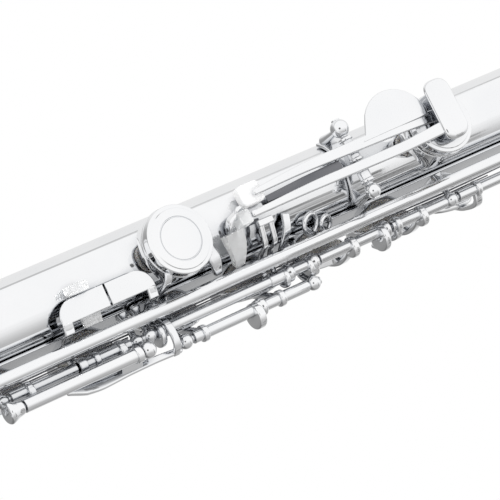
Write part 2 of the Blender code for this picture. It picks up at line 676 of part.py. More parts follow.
def make_right_hand():
    # F sharp: its rear leg carries the other half of the link frame and a clear bumper.
    leg = rear_leg(458.5, 459.8, 2.4, 0)
    extra = [rod(MAIN_ROD, 457.4, 459.5, COLLAR_R), rod(MAIN_ROD, 453.6, 455.0, COLLAR_R),
             leg, link_plate(461.2, 447.3)]
    joint = key("f_sharp", MAIN_ROD, (444.3, 459.5), {"f_sharp": 447.0}, extra)
    steel("right_steel", MAIN_ROD, 441.0, RIGHT_POSTS[-1] + 0.7)
    bumper = slab([(451.6, -1.9), (456.8, -1.9), (456.8, 0.6), (451.6, 0.6)],
                  lambda x, a: face_point(REAR, x, a, 10.3), lambda x, a: face_point(REAR, x, a, 14.2))
    node("link_bumper", "clear_rubber", [bumper], parent=joint)
    key("f", MAIN_ROD, (460.0, 478.7), {"f": 473.5})
    key("e", MAIN_ROD, (483.1, 515.8), {"e": 501.0}, [hook(MAIN_ROD, 486.0)])
    key("d", MAIN_ROD, (520.2, 537.1), {"d": 531.0}, [hook(MAIN_ROD, 522.5)])


def trill_arm(x):
    """From the trill rod round the tube, outside the main rod's line, to a cup on top."""
    start = Vector((x, *TRILL_ROD.yz))
    top = HOLE_TOP + CUP_HEIGHT - 0.45
    return strap([start, Vector((x, -13.6, 10.5)), Vector((x, -9.0, top - 1.0)), Vector((x, -4.0, top)),
                  Vector((x, 0.0, top))], (1, 0, 0), 2.4, 1.2, ends=(1.2, 0.8))


def trill_touch(x):
    """From the trill rod round the player's side of the main rod to a finger plate."""
    route = [tuple(TRILL_ROD.yz), (-18.4, 7.4), (-19.8, 10.6), (-20.4, 13.9)]
    arm = strap([Vector((x, y, z)) for y, z in route], (1, 0, 0), 2.2, 1.1)
    pad = turned((x, -19.8, 13.6), (0, 0, 1), [(0, 2.8), (1.0, 3.3), (1.8, 2.6)], 12)
    return [arm, pad]


def make_trills():
    joint = pivot("d_trill", (380.0, *TRILL_ROD.yz))
    metal, pad = cup("d_trill")
    solids = [hinge(TRILL_ROD, 272.3, 491.7, LONG_TUBE_R), collar(TRILL_ROD, 278.0, 2.2),
              trill_arm(278.0)] + trill_touch(490.3) + metal
    bore = rod(TRILL_ROD, 270, 495, STEEL_R + GAP, 8)
    node("d_trill_key", "silver", solids, [bore], parent=joint)
    node("d_trill_pad", "pad_skin", [pad], parent=joint)

    # The D sharp trill is one long steel that turns inside the D trill's tube.
    joint = pivot("ds_trill", (390.0, *TRILL_ROD.yz))
    metal, pad = cup("ds_trill")
    solids = [rod(TRILL_ROD, 253.8, 527.2, STEEL_R, 8), collar(TRILL_ROD, 263.0, 6.0),
              collar(TRILL_ROD, 519.0, 5.0), trill_arm(263.0)] + trill_touch(520.9) + metal
    node("ds_trill_key", "silver", solids, parent=joint)
    node("ds_trill_pad", "pad_skin", [pad], parent=joint)


def make_foot(foot):
    steel("foot_steel", MAIN_ROD, FOOT_POSTS[0] - 1.2, FOOT_POSTS[-1] + 1.2, foot)
    # D sharp stands shut; its spatula is on the player's side of the rod.
    spatula = strap([Vector((568.0, *MAIN_ROD.yz)), Vector((568.5, -17.5, 13.4)),
                     Vector((569.5, -22.0, 14.6)), Vector((570.0, -27.0, 14.0))],
                    (1, 0, 0), 9.0, 1.5, ends=(0.7, 1.5))
    key("foot_ds", MAIN_ROD, (559.8, 582.0), {"foot_ds": 565.0}, [spatula], turn=0.0, parent=foot)

    def touch(x_tube, x):
        plate = strap([Vector((x_tube, *MAIN_ROD.yz)), Vector((x_tube, -14.2, 15.0)),
                       Vector(((x_tube + x) / 2, -13.2, 17.6)), Vector((x, -12.4, 17.6)),
                       Vector((x, -5.0, 17.2))], (0.8, 0.2, 0), 3.4, 1.3, ends=(0.8, 1.2))
        return plate

    key("foot_cs", MAIN_ROD, (582.4, 608.3), {"foot_cs": 598.0}, [touch(584.4, 578.6)], parent=foot)
    long_lever = strap([Vector((614.8, *MAIN_ROD.yz)), Vector((614.8, -16.4, 13.6)),
                        Vector((610.0, -18.2, 15.6)), Vector((590.0, -18.2, 16.4)),
                        Vector((586.0, -14.0, 18.2)), Vector((586.0, -6.0, 17.9))],
                       (0.6, 1.0, 0), 2.8, 1.3, ends=(0.9, 1.3))
    key("foot_c", MAIN_ROD, (612.9, 643.7), {"foot_c": 633.0}, [long_lever], parent=foot)


def main():
    for old in list(bpy.data.objects):
        bpy.data.objects.remove(old)
    make_head()
    foot = make_tubes()
    make_posts(foot)
    make_left_hand()
    make_g_sharp()
    make_thumb()
    make_right_hand()
    make_trills()
    make_foot(foot)


main()
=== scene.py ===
"""Looks of the concert flute: fine meshes, materials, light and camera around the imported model.

Lengths are millimetres in the row's frame until done() turns them into metres. Rod axes, the tone
holes' places along the tube and the opening angles are read from the frame.
"""
import json
import math

import bmesh
import bpy
from mathutils import Matrix, Vector


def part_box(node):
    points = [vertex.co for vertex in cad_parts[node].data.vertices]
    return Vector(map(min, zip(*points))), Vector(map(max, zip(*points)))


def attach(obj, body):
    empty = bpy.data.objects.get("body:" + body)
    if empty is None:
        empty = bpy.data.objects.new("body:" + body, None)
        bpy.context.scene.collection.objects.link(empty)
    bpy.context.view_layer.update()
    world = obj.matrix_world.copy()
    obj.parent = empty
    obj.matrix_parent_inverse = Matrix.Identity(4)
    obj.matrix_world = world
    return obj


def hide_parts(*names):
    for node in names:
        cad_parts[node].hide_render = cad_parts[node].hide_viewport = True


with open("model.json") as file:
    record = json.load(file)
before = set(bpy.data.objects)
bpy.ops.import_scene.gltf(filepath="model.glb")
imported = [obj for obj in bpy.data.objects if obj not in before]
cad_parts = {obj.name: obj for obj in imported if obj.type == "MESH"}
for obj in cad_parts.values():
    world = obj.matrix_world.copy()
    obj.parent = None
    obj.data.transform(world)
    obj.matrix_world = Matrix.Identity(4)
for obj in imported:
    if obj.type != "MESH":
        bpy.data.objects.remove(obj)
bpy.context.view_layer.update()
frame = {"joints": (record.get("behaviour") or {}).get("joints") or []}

MM = 0.001
JOINTS = {joint["name"]: joint for joint in frame["joints"]}


# ---------------------------------------------------------------- places read from the frame
def rod_of(joint):
    """The (y, z) of a rod along X."""
    return tuple(value / MM for value in JOINTS[joint]["pos_m"][1:])


def span_of(node):
    low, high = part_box(node)
    return low.x / MM, high.x / MM


def middle_x(node):
    return sum(span_of(node)) / 2


MAIN = rod_of("a_press")
TRILL = rod_of("d_trill_lift")
OFFSET = rod_of("g_press")
SHARP = rod_of("g_sharp_lift")
THUMB_X = JOINTS["thumb_b_press"]["pos_m"][0] / MM
THUMB_AXIS = Vector(JOINTS["thumb_b_press"]["axis"])

LENGTH = span_of("foot_tube")[1]
BODY = span_of("body_tube")
BARREL = span_of("barrel")
HEAD = span_of("head_tube")
SOCKET = span_of("foot_tube")[0]
EMBOUCHURE_X = middle_x("lip_plate")

TUBE_R = 9.9
BORE_R = 9.5
HEAD_R = 8.9
HOLE_TOP = 12.2
CUP_BASE = 0.9
CUP_HEIGHT = 4.2
REAR = 118.0
THUMB_ANGLE = 126.0
THUMB_OUT = 14.5
RIB_ANGLE = 60.5
STEEL_R = 0.8
HINGE_R = 1.5
LONG_R = 1.65
COLLAR_R = 2.05
BALL_R = 1.9

HOLES = ("ds_trill", "d_trill", "c_sharp", "thumb", "a_sharp", "a", "g_upper", "g_lower",
         "g_sharp", "f_sharp", "f", "e", "d", "foot_ds", "foot_cs", "foot_c")
HOLE_X = {name: middle_x(name + "_pad") for name in HOLES}
HOLE_ANGLE = dict.fromkeys(HOLES, 0.0)
HOLE_ANGLE.update(g_upper=6.0, g_lower=6.0, g_sharp=123.7, thumb=THUMB_ANGLE)
HOLE_X["thumb"] = EMBOUCHURE_X + 272.0
SMALL = ("ds_trill", "d_trill", "c_sharp")
CUP_R = dict.fromkeys(HOLES, 8.9)
CUP_R.update(ds_trill=5.0, d_trill=5.0, c_sharp=5.2, thumb=8.4)
OPEN = -math.radians(JOINTS["a_press"]["range_deg"][0])
OPEN_G = -math.radians(JOINTS["g_press"]["range_deg"][0])
OPEN_THUMB = -math.radians(JOINTS["thumb_b_press"]["range_deg"][0])


def around(angle, x, across, out):
    """A point over the tube: out from the bore axis at an angle, and across along the tangent."""
    turn = math.radians(angle)
    y = across * math.cos(turn) - out * math.sin(turn)
    z = across * math.sin(turn) + out * math.cos(turn)
    return Vector((x, y, z))


def rear(x, across, out):
    return around(REAR, x, across, out)


def thumb(x, across, out):
    return around(THUMB_ANGLE, x, across, out)


# ---------------------------------------------------------------- shapes
def skin(b, rings, cap=True, loop=False):
    """Faces between rings of points; a ring of one point closes the shape to a tip."""
    lines = [[b.verts.new(p) for p in ring] for ring in rings]
    pairs = list(zip(lines, lines[1:]))
    if loop:
        pairs.append((lines[-1], lines[0]))
    for first, second in pairs:
        count = max(len(first), len(second))
        for i in range(count):
            j = (i + 1) % count
            if len(first) == 1:
                b.faces.new((first[0], second[j], second[i]))
            elif len(second) == 1:
                b.faces.new((first[i], first[j], second[0]))
            else:
                b.faces.new((first[i], first[j], second[j], second[i]))
    if cap and not loop:
        for line in (lines[0], lines[-1]):
            if len(line) > 2:
                b.faces.new(line)


def fillet(line, radius, steps=4, closed=False):
    """The line of 2D points with its corners rounded by up to radius."""
    out = []
    count = len(line)
    for i, corner in enumerate(line):
        if not closed and i in (0, count - 1):
            out.append(tuple(corner))
            continue
        c = Vector(corner)
        before = Vector(line[i - 1]) - c
        after = Vector(line[(i + 1) % count]) - c
        reach = min(radius, before.length * 0.45, after.length * 0.45)
        if reach < 0.02 or before.angle(after) > math.radians(170):
            out.append(tuple(corner))
            continue
        start, end = c + before.normalized() * reach, c + after.normalized() * reach
        for k in range(steps + 1):
            t = k / steps
            out.append(tuple(start * (1 - t) ** 2 + c * (2 * t * (1 - t)) + end * t**2))
    return out


def circle(sides):
    """(cos, sin) of even turns once round."""
    turns = [2 * math.pi * i / sides for i in range(sides)]
    return [(math.cos(t), math.sin(t)) for t in turns]


def lathe(b, origin, axis, line, sides=40, loop=False):
    """A turned shape. line holds (distance along the axis, radius) pairs."""
    axis = Vector(axis).normalized()
    first = axis.orthogonal().normalized()
    second = axis.cross(first)
    rings = []
    for along, radius in line:
        centre = Vector(origin) + axis * along
        if radius < 1e-6:
            rings.append([centre])
            continue
        rings.append([centre + radius * (u * first + v * second) for u, v in circle(sides)])
    skin(b, rings, loop=loop)


def rod(b, place, x0, x1, radius, edge=0.2, sides=28):
    """A cylinder along X with softened ends."""
    line = fillet([(0, 0), (0, radius), (x1 - x0, radius), (x1 - x0, 0)], edge, 3)
    lathe(b, (x0, *place), (1, 0, 0), line, sides)


def globe(b, centre, radius, axis=(1, 0, 0)):
    bands = 16
    turns = [math.pi * i / bands for i in range(bands + 1)]
    lathe(b, centre, axis, [(-radius * math.cos(t), radius * math.sin(t)) for t in turns], 2 * bands)


def spline(points, per=6):
    """A smooth line through the points."""
    points = [Vector(p) for p in points]
    ends = [points[0] * 2 - points[1]] + points + [points[-1] * 2 - points[-2]]
    out = []
    for p0, p1, p2, p3 in zip(ends, ends[1:], ends[2:], ends[3:]):
        for k in range(per):
            t = k / per
            out.append(0.5 * (2 * p1 + (p2 - p0) * t + (2 * p0 - 5 * p1 + 4 * p2 - p3) * t * t
                              + (3 * p1 - p0 - 3 * p2 + p3) * t**3))
    out.append(points[-1])
    return out


def level_at(values, share):
    """The value at a share of the way along evenly spaced values."""
    place = share * (len(values) - 1)
    i = min(int(place), len(values) - 2)
    return values[i] + (values[i + 1] - values[i]) * (place - i)


def section(width, thick, corner):
    """A rounded rectangle, or a circle where the corner is half of both."""
    points = []
    for sx, sy, start in ((1, 1, 0), (-1, 1, 90), (-1, -1, 180), (1, -1, 270)):
        for k in range(4):
            turn = math.radians(start + 90 * k / 3)
            points.append((sx * (width / 2 - corner) + corner * math.cos(turn),
                           sy * (thick / 2 - corner) + corner * math.sin(turn)))
    return points


def sweep(b, points, side, width, thick, widths=(1, 1), thicks=(1, 1), corner=0.3, per=6, dome=0.5):
    """A smooth bar along points. side is the direction of its width; the ends are domed."""
    line = spline(points, per)
    last = len(line) - 1
    side = Vector(side).normalized()

    def ring(i, shrink, shift):
        run = (line[min(i + 1, last)] - line[max(i - 1, 0)]).normalized()
        across = (side - run * side.dot(run)).normalized()
        up = run.cross(across)
        w = width * level_at(widths, i / last)
        t = thick * level_at(thicks, i / last)
        pull = shrink * min(w, t) / 2
        centre = line[i] + run * shift
        w, t = w - 2 * pull, t - 2 * pull
        return [centre + across * u + up * v for u, v in section(w, t, min(w, t) * 0.499 * corner * 2)]

    turns = [math.radians(a) for a in (80, 55, 28)]
    reach = dome * thick
    rings = [ring(0, 1 - math.cos(t), -reach * math.sin(t)) for t in turns]
    rings += [ring(i, 0, 0) for i in range(last + 1)]
    rings += [ring(last, 1 - math.cos(t), reach * math.sin(t)) for t in reversed(turns)]
    skin(b, rings)


def inset(outline, far):
    """The outline moved inwards by far. It runs either way round."""
    count = len(outline)
    area = sum(outline[i][0] * outline[(i + 1) % count][1] - outline[(i + 1) % count][0] * outline[i][1]
               for i in range(count))
    hand = 1 if area > 0 else -1
    out = []
    for i in range(count):
        before = Vector(outline[i]) - Vector(outline[i - 1])
        after = Vector(outline[(i + 1) % count]) - Vector(outline[i])
        n0 = Vector((-before.y, before.x)).normalized() * hand
        n1 = Vector((-after.y, after.x)).normalized() * hand
        both = (n0 + n1) / max(0.3, 1 + n0.dot(n1))
        out.append(tuple(Vector(outline[i]) + both * far))
    return out


def plate(b, outline, place, low, high, edge=0.25, crown=0.0, rings_in=0):
    """A plate with rounded edges. place(u, v, level) sets its points; crown domes the top."""
    def ring(far, level):
        return [place(u, v, level) for u, v in inset(outline, far)]

    turns = [math.radians(a) for a in (0, 30, 60, 90)]
    rings = [ring(edge * (1 - math.sin(t)), low + edge * (1 - math.cos(t))) for t in turns]
    rings += [ring(edge * (1 - math.cos(t)), high - edge * (1 - math.sin(t))) for t in turns]
    if rings_in:
        rim = inset(outline, edge)
        mu = sum(u for u, v in rim) / len(rim)
        mv = sum(v for u, v in rim) / len(rim)
        for k in range(1, rings_in):
            s = 1 - k / rings_in
            rings.append([place(mu + (u - mu) * s, mv + (v - mv) * s, high + crown * (1 - s * s))
                          for u, v in rim])
        rings.append([place(mu, mv, high + crown)])
    skin(b, rings)


def rounded(points, radius, steps=6):
    return fillet(points, radius, steps, closed=True)


def turned_about(b, start, place, turn, axis=(1, 0, 0)):
    """Turns what was added since start about an axis through a place."""
    verts = b.verts[:][start:]
    move = (Matrix.Translation(Vector(place)) @ Matrix.Rotation(turn, 4, Vector(axis))
            @ Matrix.Translation(-Vector(place)))
    bmesh.ops.transform(b, matrix=move, verts=verts)


# ---------------------------------------------------------------- materials
def shader_of(name):
    made = bpy.data.materials.new(name)
    made.use_nodes = True
    return made, made.node_tree, made.node_tree.nodes["Principled BSDF"]


def feed(tree, node, **values):
    """Links or sets a node's inputs, or its settings; _ in an input's name stands for a space."""
    for key, value in values.items():
        name = key.replace("_", " ")
        if name not in node.inputs:
            setattr(node, key, value)
        elif isinstance(value, bpy.types.NodeSocket):
            tree.links.new(value, node.inputs[name])
        else:
            node.inputs[name].default_value = value
    return node


def add(tree, kind, **values):
    return feed(tree, tree.nodes.new(kind), **values)


def noise(tree, scale, detail=4.0, stretch=(1, 1, 1), rough=0.5):
    place = add(tree, "ShaderNodeTexCoord").outputs["Object"]
    place = add(tree, "ShaderNodeMapping", Vector=place, Scale=stretch).outputs["Vector"]
    made = add(tree, "ShaderNodeTexNoise", Vector=place, Scale=scale, Detail=detail, Roughness=rough)
    return made.outputs["Fac"]


def grey(value):
    return (value, value, value)


def ramp(tree, source, *stops):
    """A colour ramp. A stop holds a place and a colour, or a place and one number for a grey."""
    made = add(tree, "ShaderNodeValToRGB", Fac=source)
    band = made.color_ramp
    while len(band.elements) < len(stops):
        band.elements.new(0.5)
    for element, (place, colour) in zip(band.elements, stops):
        element.position = place
        element.color = (*(colour if isinstance(colour, tuple) else grey(colour)), 1.0)
    return made.outputs["Color"]


def bump(tree, height, strength, distance):
    made = add(tree, "ShaderNodeBump", Strength=strength, Distance=distance, Height=height)
    return made.outputs["Normal"]


def mixed(tree, factor, first, second, blend="MIX"):
    made = add(tree, "ShaderNodeMix", data_type="RGBA", blend_type=blend)
    sockets = [s for s in made.inputs if s.enabled]
    sockets[0].default_value = factor
    tree.links.new(first, sockets[1])
    tree.links.new(second, sockets[2])
    return [s for s in made.outputs if s.enabled][0]


def make_silver():
    """Polished plate: faint cloudy tone, hairline polish marks, and painted shade that darkens the joints and
    crevices.
    """
    made, tree, shader = shader_of("silver_plate")
    cloud = ramp(tree, noise(tree, 60, 3), (0.3, (0.905, 0.912, 0.925)), (0.7, (0.945, 0.948, 0.955)))
    # Painted shade: ambient occlusion darkens the colour in joints, crevices and under the rods, where shade
    # falls.
    shade = add(tree, "ShaderNodeAmbientOcclusion", Distance=0.008, samples=8)
    corner = ramp(tree, shade.outputs["AO"],
                  (0.05, (0.34, 0.345, 0.36)), (0.4, (0.66, 0.67, 0.685)), (0.8, (1, 1, 1)))
    hair = noise(tree, 500, 6, (0.15, 3.0, 3.0), 0.6)
    feed(tree, shader, Metallic=1.0, Base_Color=mixed(tree, 1.0, cloud, corner, "MULTIPLY"),
         Roughness=ramp(tree, hair, (0.35, 0.035), (0.75, 0.085)),
         Normal=bump(tree, noise(tree, 900, 2), 0.02, 0.0001))
    return made


def make_steel():
    """Ground steel with fine turning marks round the rod."""
    made, tree, shader = shader_of("ground_steel")
    turning = noise(tree, 300, 5, (12.0, 0.4, 0.4), 0.7)
    feed(tree, shader, Metallic=1.0,
         Base_Color=ramp(tree, turning, (0.3, (0.50, 0.51, 0.53)), (0.7, (0.66, 0.67, 0.69))),
         Roughness=ramp(tree, turning, (0.3, 0.16), (0.8, 0.3)), Normal=bump(tree, turning, 0.08, 0.0001))
    return made


def make_pad():
    """Thin translucent skin drawn over felt, creased towards the rim."""
    made, tree, shader = shader_of("pad_skin")
    crease = noise(tree, 700, 6, (1, 1, 1), 0.65)
    tone = ramp(tree, crease, (0.3, (0.46, 0.44, 0.41)), (0.55, (0.62, 0.60, 0.57)),
                (0.8, (0.74, 0.72, 0.69)))
    feed(tree, shader, Base_Color=tone, Roughness=ramp(tree, crease, (0.3, 0.38), (0.7, 0.6)),
         Subsurface_Weight=0.15, Subsurface_Radius=(0.001, 0.0007, 0.0004),
         Normal=bump(tree, crease, 0.35, 0.0002))
    return made


def make_cork():
    made, tree, shader = shader_of("natural_cork")
    place = add(tree, "ShaderNodeTexCoord").outputs["Object"]
    cells = add(tree, "ShaderNodeTexVoronoi", Scale=900.0, Vector=place)
    grain = noise(tree, 350, 6)
    tone = ramp(tree, grain, (0.3, (0.30, 0.17, 0.08)), (0.5, (0.60, 0.41, 0.23)), (0.75, (0.74, 0.55, 0.35)))
    pits = ramp(tree, cells.outputs["Distance"], (0.0, 0.55), (0.35, 1.0))
    feed(tree, shader, Base_Color=mixed(tree, 1.0, tone, pits, "MULTIPLY"), Roughness=0.85,
         Normal=bump(tree, grain, 0.6, 0.0003))
    return made


def make_felt():
    made, tree, shader = shader_of("white_felt")
    fibre = noise(tree, 2500, 8, (1, 1, 1), 0.75)
    # Painted light: the white emission makes the felt glow brighter than its lighting alone would.
    feed(tree, shader, Base_Color=ramp(tree, fibre, (0.3, 0.92), (0.6, 0.99)), Roughness=0.95,
         Sheen_Weight=0.5, Subsurface_Weight=0.4, Subsurface_Radius=grey(0.003),
         Emission_Color=(1.0, 1.0, 1.0, 1.0), Emission_Strength=0.16, Normal=bump(tree, fibre, 0.35, 0.0003))
    return made


def make_clear(name, tone, glow):
    """Cloudy translucent bumper. glow is painted light, an emission that stands in for light shining through
    it from its far side; a tone below 1 makes a darker copy that stands in for shade.
    """
    made, tree, shader = shader_of(name)
    haze = noise(tree, 450, 4)
    feed(tree, shader, Base_Color=ramp(tree, haze, (0.3, 0.86 * tone), (0.7, 0.96 * tone)),
         Roughness=ramp(tree, haze, (0.3, 0.05), (0.7, 0.12)), Transmission_Weight=0.55, IOR=1.42,
         Subsurface_Weight=0.3, Subsurface_Radius=grey(0.004), Emission_Color=(0.95, 0.97, 0.98, 1.0),
         Emission_Strength=glow, Normal=bump(tree, haze, 0.03, 0.0001))
    return made


def make_dark_spring_and_gap_shade():
    """Blued spring steel: dark, cold greys in slow patches. On the thumb spring the dark colour is also
    painted shade for the gap under the thumb arms.
    """
    made, tree, shader = shader_of("dark_spring_steel_with_shade")
    tone = noise(tree, 80, 3, (0.5, 2.0, 2.0))
    feed(tree, shader, Metallic=1.0,
         Base_Color=ramp(tree, tone, (0.3, (0.13, 0.135, 0.15)), (0.7, (0.24, 0.24, 0.255))),
         Roughness=ramp(tree, tone, (0.3, 0.18), (0.7, 0.32)),
         Normal=bump(tree, noise(tree, 1200, 2), 0.05, 0.0001))
    return made


# The dark spring look is spring steel; on the thumb spring it also stands in as painted shade.
MATERIALS = {"silver": make_silver(), "steel": make_steel(), "pad_skin": make_pad(), "cork": make_cork(),
             "felt": make_felt(), "clear_rubber": make_clear("clear_bumper", 1.0, 0.14),
             # Painted shade: a darker copy of the clear bumper with less painted glow, for bumpers that sit
             # in shade.
             "clear_in_shade": make_clear("clear_bumper_in_shade", 0.85, 0.06), "spring_dark_and_shade": make_dark_spring_and_gap_shade()}


# ---------------------------------------------------------------- pieces
SHARP_EDGE = math.radians(42)
SHARP_CUT = math.radians(32)


def object_of(b, name):
    """A linked object in metres from a mesh in millimetres."""
    bmesh.ops.recalc_face_normals(b, faces=b.faces)
    bmesh.ops.scale(b, vec=(MM, MM, MM), verts=b.verts)
    mesh = bpy.data.meshes.new(name)
    b.to_mesh(mesh)
    b.free()
    made = bpy.data.objects.new(name, mesh)
    bpy.context.scene.collection.objects.link(made)
    return made


def done(b, name, body, slot, *nodes, flats=True, look=None):
    """Turns a mesh into a named piece that rides on a body and stands for CAD nodes."""
    made = object_of(b, name)
    made.data.shade_smooth()
    made.data.set_sharp_from_angle(angle=SHARP_EDGE)
    made.data.materials.append(MATERIALS[look or slot])
    if flats:
        weigh = made.modifiers.new("flats", "WEIGHTED_NORMAL")
        weigh.keep_sharp = True
    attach(made, body)
    if nodes:
        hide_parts(*nodes)
    return made


def fine(b, node, body, slot, flats=True):
    """A finer mesh in place of one CAD node."""
    return done(b, node + "_fine", body, slot, node, flats=flats)


def cut(made, cutters):
    """Takes the cutters' shapes out of a piece."""
    for b in cutters:
        helper = object_of(b, "cutter")
        step = made.modifiers.new("cut", "BOOLEAN")
        step.operation = "DIFFERENCE"
        step.object = helper
        graph = bpy.context.evaluated_depsgraph_get()
        baked = bpy.data.meshes.new_from_object(made.evaluated_get(graph))
        made.modifiers.clear()
        made.data = baked
        bpy.data.objects.remove(helper)
    made.data.shade_smooth()
    made.data.set_sharp_from_angle(angle=SHARP_CUT)


def tube(b, line, sides=96):
    lathe(b, (0, 0, 0), (1, 0, 0), line, sides, loop=True)


# ---------------------------------------------------------------- head joint
LIP_X, LIP_Y = 24.0, 16.0
HOLE_HALF = (6.1, 5.2)


def lip_height(a, b):
    reach = (a / LIP_X) ** 2 + (b / LIP_Y) ** 2
    return HEAD_R + 0.3 + 5.0 - 2.6 * reach - 8.8 * (b / LIP_Y) ** 2


def oval(half_x, half_y, height):
    ring = []
    for u, v in circle(72):
        a, b = half_x * u, half_y * v
        ring.append(Vector((EMBOUCHURE_X + a, b, height(a, b))))
    return ring


def between(first, second, share):
    return first + (second - first) * share


def make_head():
    crown_end = HEAD[0]
    b = bmesh.new()
    line = [(crown_end, HEAD_R)]
    for i in range(1, 9):
        share = i / 8
        line.append((between(crown_end, BARREL[0], share), between(HEAD_R, TUBE_R, share**1.15)))
    line += [(HEAD[1], TUBE_R), (HEAD[1], BORE_R), (BARREL[0], BORE_R), (crown_end, 8.5)]
    tube(b, fillet(line, 0.15, 2, closed=True))
    head = fine(b, "head_tube", "head", "silver", flats=False)
    window = bmesh.new()
    skin(window, [oval(6.6, 5.7, lambda u, v: 4.0), oval(6.6, 5.7, lambda u, v: 14.0)])
    cut(head, [window])

    def under(u, v):
        return lip_height(u, v) - 1.1

    b = bmesh.new()
    faces = []
    for k in range(15):
        share = k / 14
        size = (between(HOLE_HALF[0] + 0.25, LIP_X - 0.35, share),
                between(HOLE_HALF[1] + 0.25, LIP_Y - 0.35, share))
        faces.append(oval(*size, lip_height))
    faces.append(oval(LIP_X - 0.08, LIP_Y - 0.08, lambda u, v: lip_height(u, v) - 0.22))
    faces.append(oval(LIP_X, LIP_Y, lambda u, v: lip_height(u, v) - 0.6))
    faces.append(oval(LIP_X - 0.3, LIP_Y - 0.3, under))
    for k in range(9):
        share = 1 - k / 8
        size = (between(HOLE_HALF[0], LIP_X - 1.0, share), between(HOLE_HALF[1], LIP_Y - 1.0, share))
        faces.append(oval(*size, under))
    faces.append(oval(*HOLE_HALF, lambda u, v: lip_height(u, v) - 0.2))
    skin(b, faces, loop=True)
    fine(b, "lip_plate", "head", "silver", flats=False)

    wall = HEAD_R + 0.65
    b = bmesh.new()
    rings = []
    for k in range(7):
        share = k / 6
        grow = 0.5 * (1 - share) ** 2
        rings.append(oval(7.1 + grow, 6.2 + grow,
                          lambda u, v: between(math.sqrt(wall**2 - min(v * v, 60)), under(u, v) - 0.3,
                                               share)))
    rings.append(oval(6.15, 5.25, lambda u, v: under(u, v) - 0.3))
    rings.append(oval(6.15, 5.25, lambda u, v: math.sqrt(wall**2 - v * v)))
    skin(b, rings, loop=True)
    fine(b, "riser", "head", "silver", flats=False)

    b = bmesh.new()
    crown = [(0, 0), (0, 5.6), (0.8, 7.0), (2.6, 8.3), (5.0, 8.9), (7.4, 8.6), (8.0, 8.5), (8.6, 9.3),
             (11.6, 9.3), (11.6, 2.5), (3.0, 2.5), (3.0, 0)]
    lathe(b, (0, 0, 0), (1, 0, 0), fillet(crown, 0.8, 5), 64)
    fine(b, "crown", "crown_cap", "silver", flats=False)

    cork_face = span_of("stopper_screw")[1]
    b = bmesh.new()
    screw = [(5.0, 0), (5.0, 2.0)]
    x = 5.0
    while x < 33:
        screw += [(x + 0.25, 2.1), (x + 0.5, 1.85)]
        x += 0.5
    screw += [(cork_face - 1.2, 2.1), (cork_face - 1.2, 8.2), (cork_face, 8.2), (cork_face, 0)]
    lathe(b, (0, 0, 0), (1, 0, 0), screw, 32)
    fine(b, "stopper_screw", "stopper", "silver")
    b = bmesh.new()
    tube(b, fillet([(34.0, 8.2), (50.4, 8.2), (50.4, 2.4), (34.0, 2.4)], 0.5, 4, closed=True), 48)
    fine(b, "stopper_cork", "stopper", "cork")
    b = bmesh.new()
    tube(b, fillet([(31.6, 7.0), (33.6, 7.0), (33.6, 2.4), (31.6, 2.4)], 0.3, 3, closed=True), 48)
    fine(b, "stopper_nut", "stopper", "silver")


# ---------------------------------------------------------------- tubes
def hole_size(name):
    return 3.5 if name in SMALL else 6.6


def cup_drop(name):
    """How much lower a small cup stands than a large one."""
    return 0.8 if name in SMALL else 0.0


def over_hole(name, out):
    """The point at a height over the bore's axis above a tone hole, and the way outwards."""
    return around(HOLE_ANGLE[name], HOLE_X[name], 0, out), around(HOLE_ANGLE[name], 0, 0, 1)


def hole_cutter(name):
    b = bmesh.new()
    centre, out = over_hole(name, 0)
    radius = hole_size(name) + 0.2
    lathe(b, centre, out, [(4.5, 0), (4.5, radius), (13.0, radius), (13.0, 0)], 48)
    return b


def chimney(b, name):
    """A drawn tone hole: it flares out of the tube and ends in a rolled rim."""
    radius = hole_size(name)
    angle, x = HOLE_ANGLE[name], HOLE_X[name]

    def ring(r, rise):
        """rise runs from 0 on the tube to 1 at the rim."""
        points = []
        for cos, sin in circle(64):
            u, v = r * cos, r * sin
            low = math.sqrt(TUBE_R**2 - min(v * v, 80.0)) - 0.03
            points.append(around(angle, x + u, v, between(low, HOLE_TOP - 0.35, rise)))
        return points

    rings = [ring(radius + 0.6 + 0.9 * (1 - k / 5) ** 2, (k / 5) ** 1.6) for k in range(6)]

    def lip(turn):
        a = math.radians(turn)
        r, level = radius + 0.42 + 0.33 * math.cos(a), HOLE_TOP - 0.33 + 0.33 * math.sin(a)
        return [around(angle, x + r * u, r * v, level) for u, v in circle(64)]

    rings += [lip(turn) for turn in (0, 30, 60, 90, 120, 150, 180)]
    rings.append([around(angle, x + radius * u, radius * v, math.sqrt(TUBE_R**2 - (radius * v) ** 2) - 0.6)
                  for u, v in circle(64)])
    skin(b, rings, cap=False)


def make_holes(made, body, names):
    """Cuts the tone holes into a tube and raises their chimneys."""
    cut(made, [hole_cutter(name) for name in names])
    b = bmesh.new()
    for name in names:
        chimney(b, name)
    done(b, body + "_tone_holes", body, "silver", flats=False)


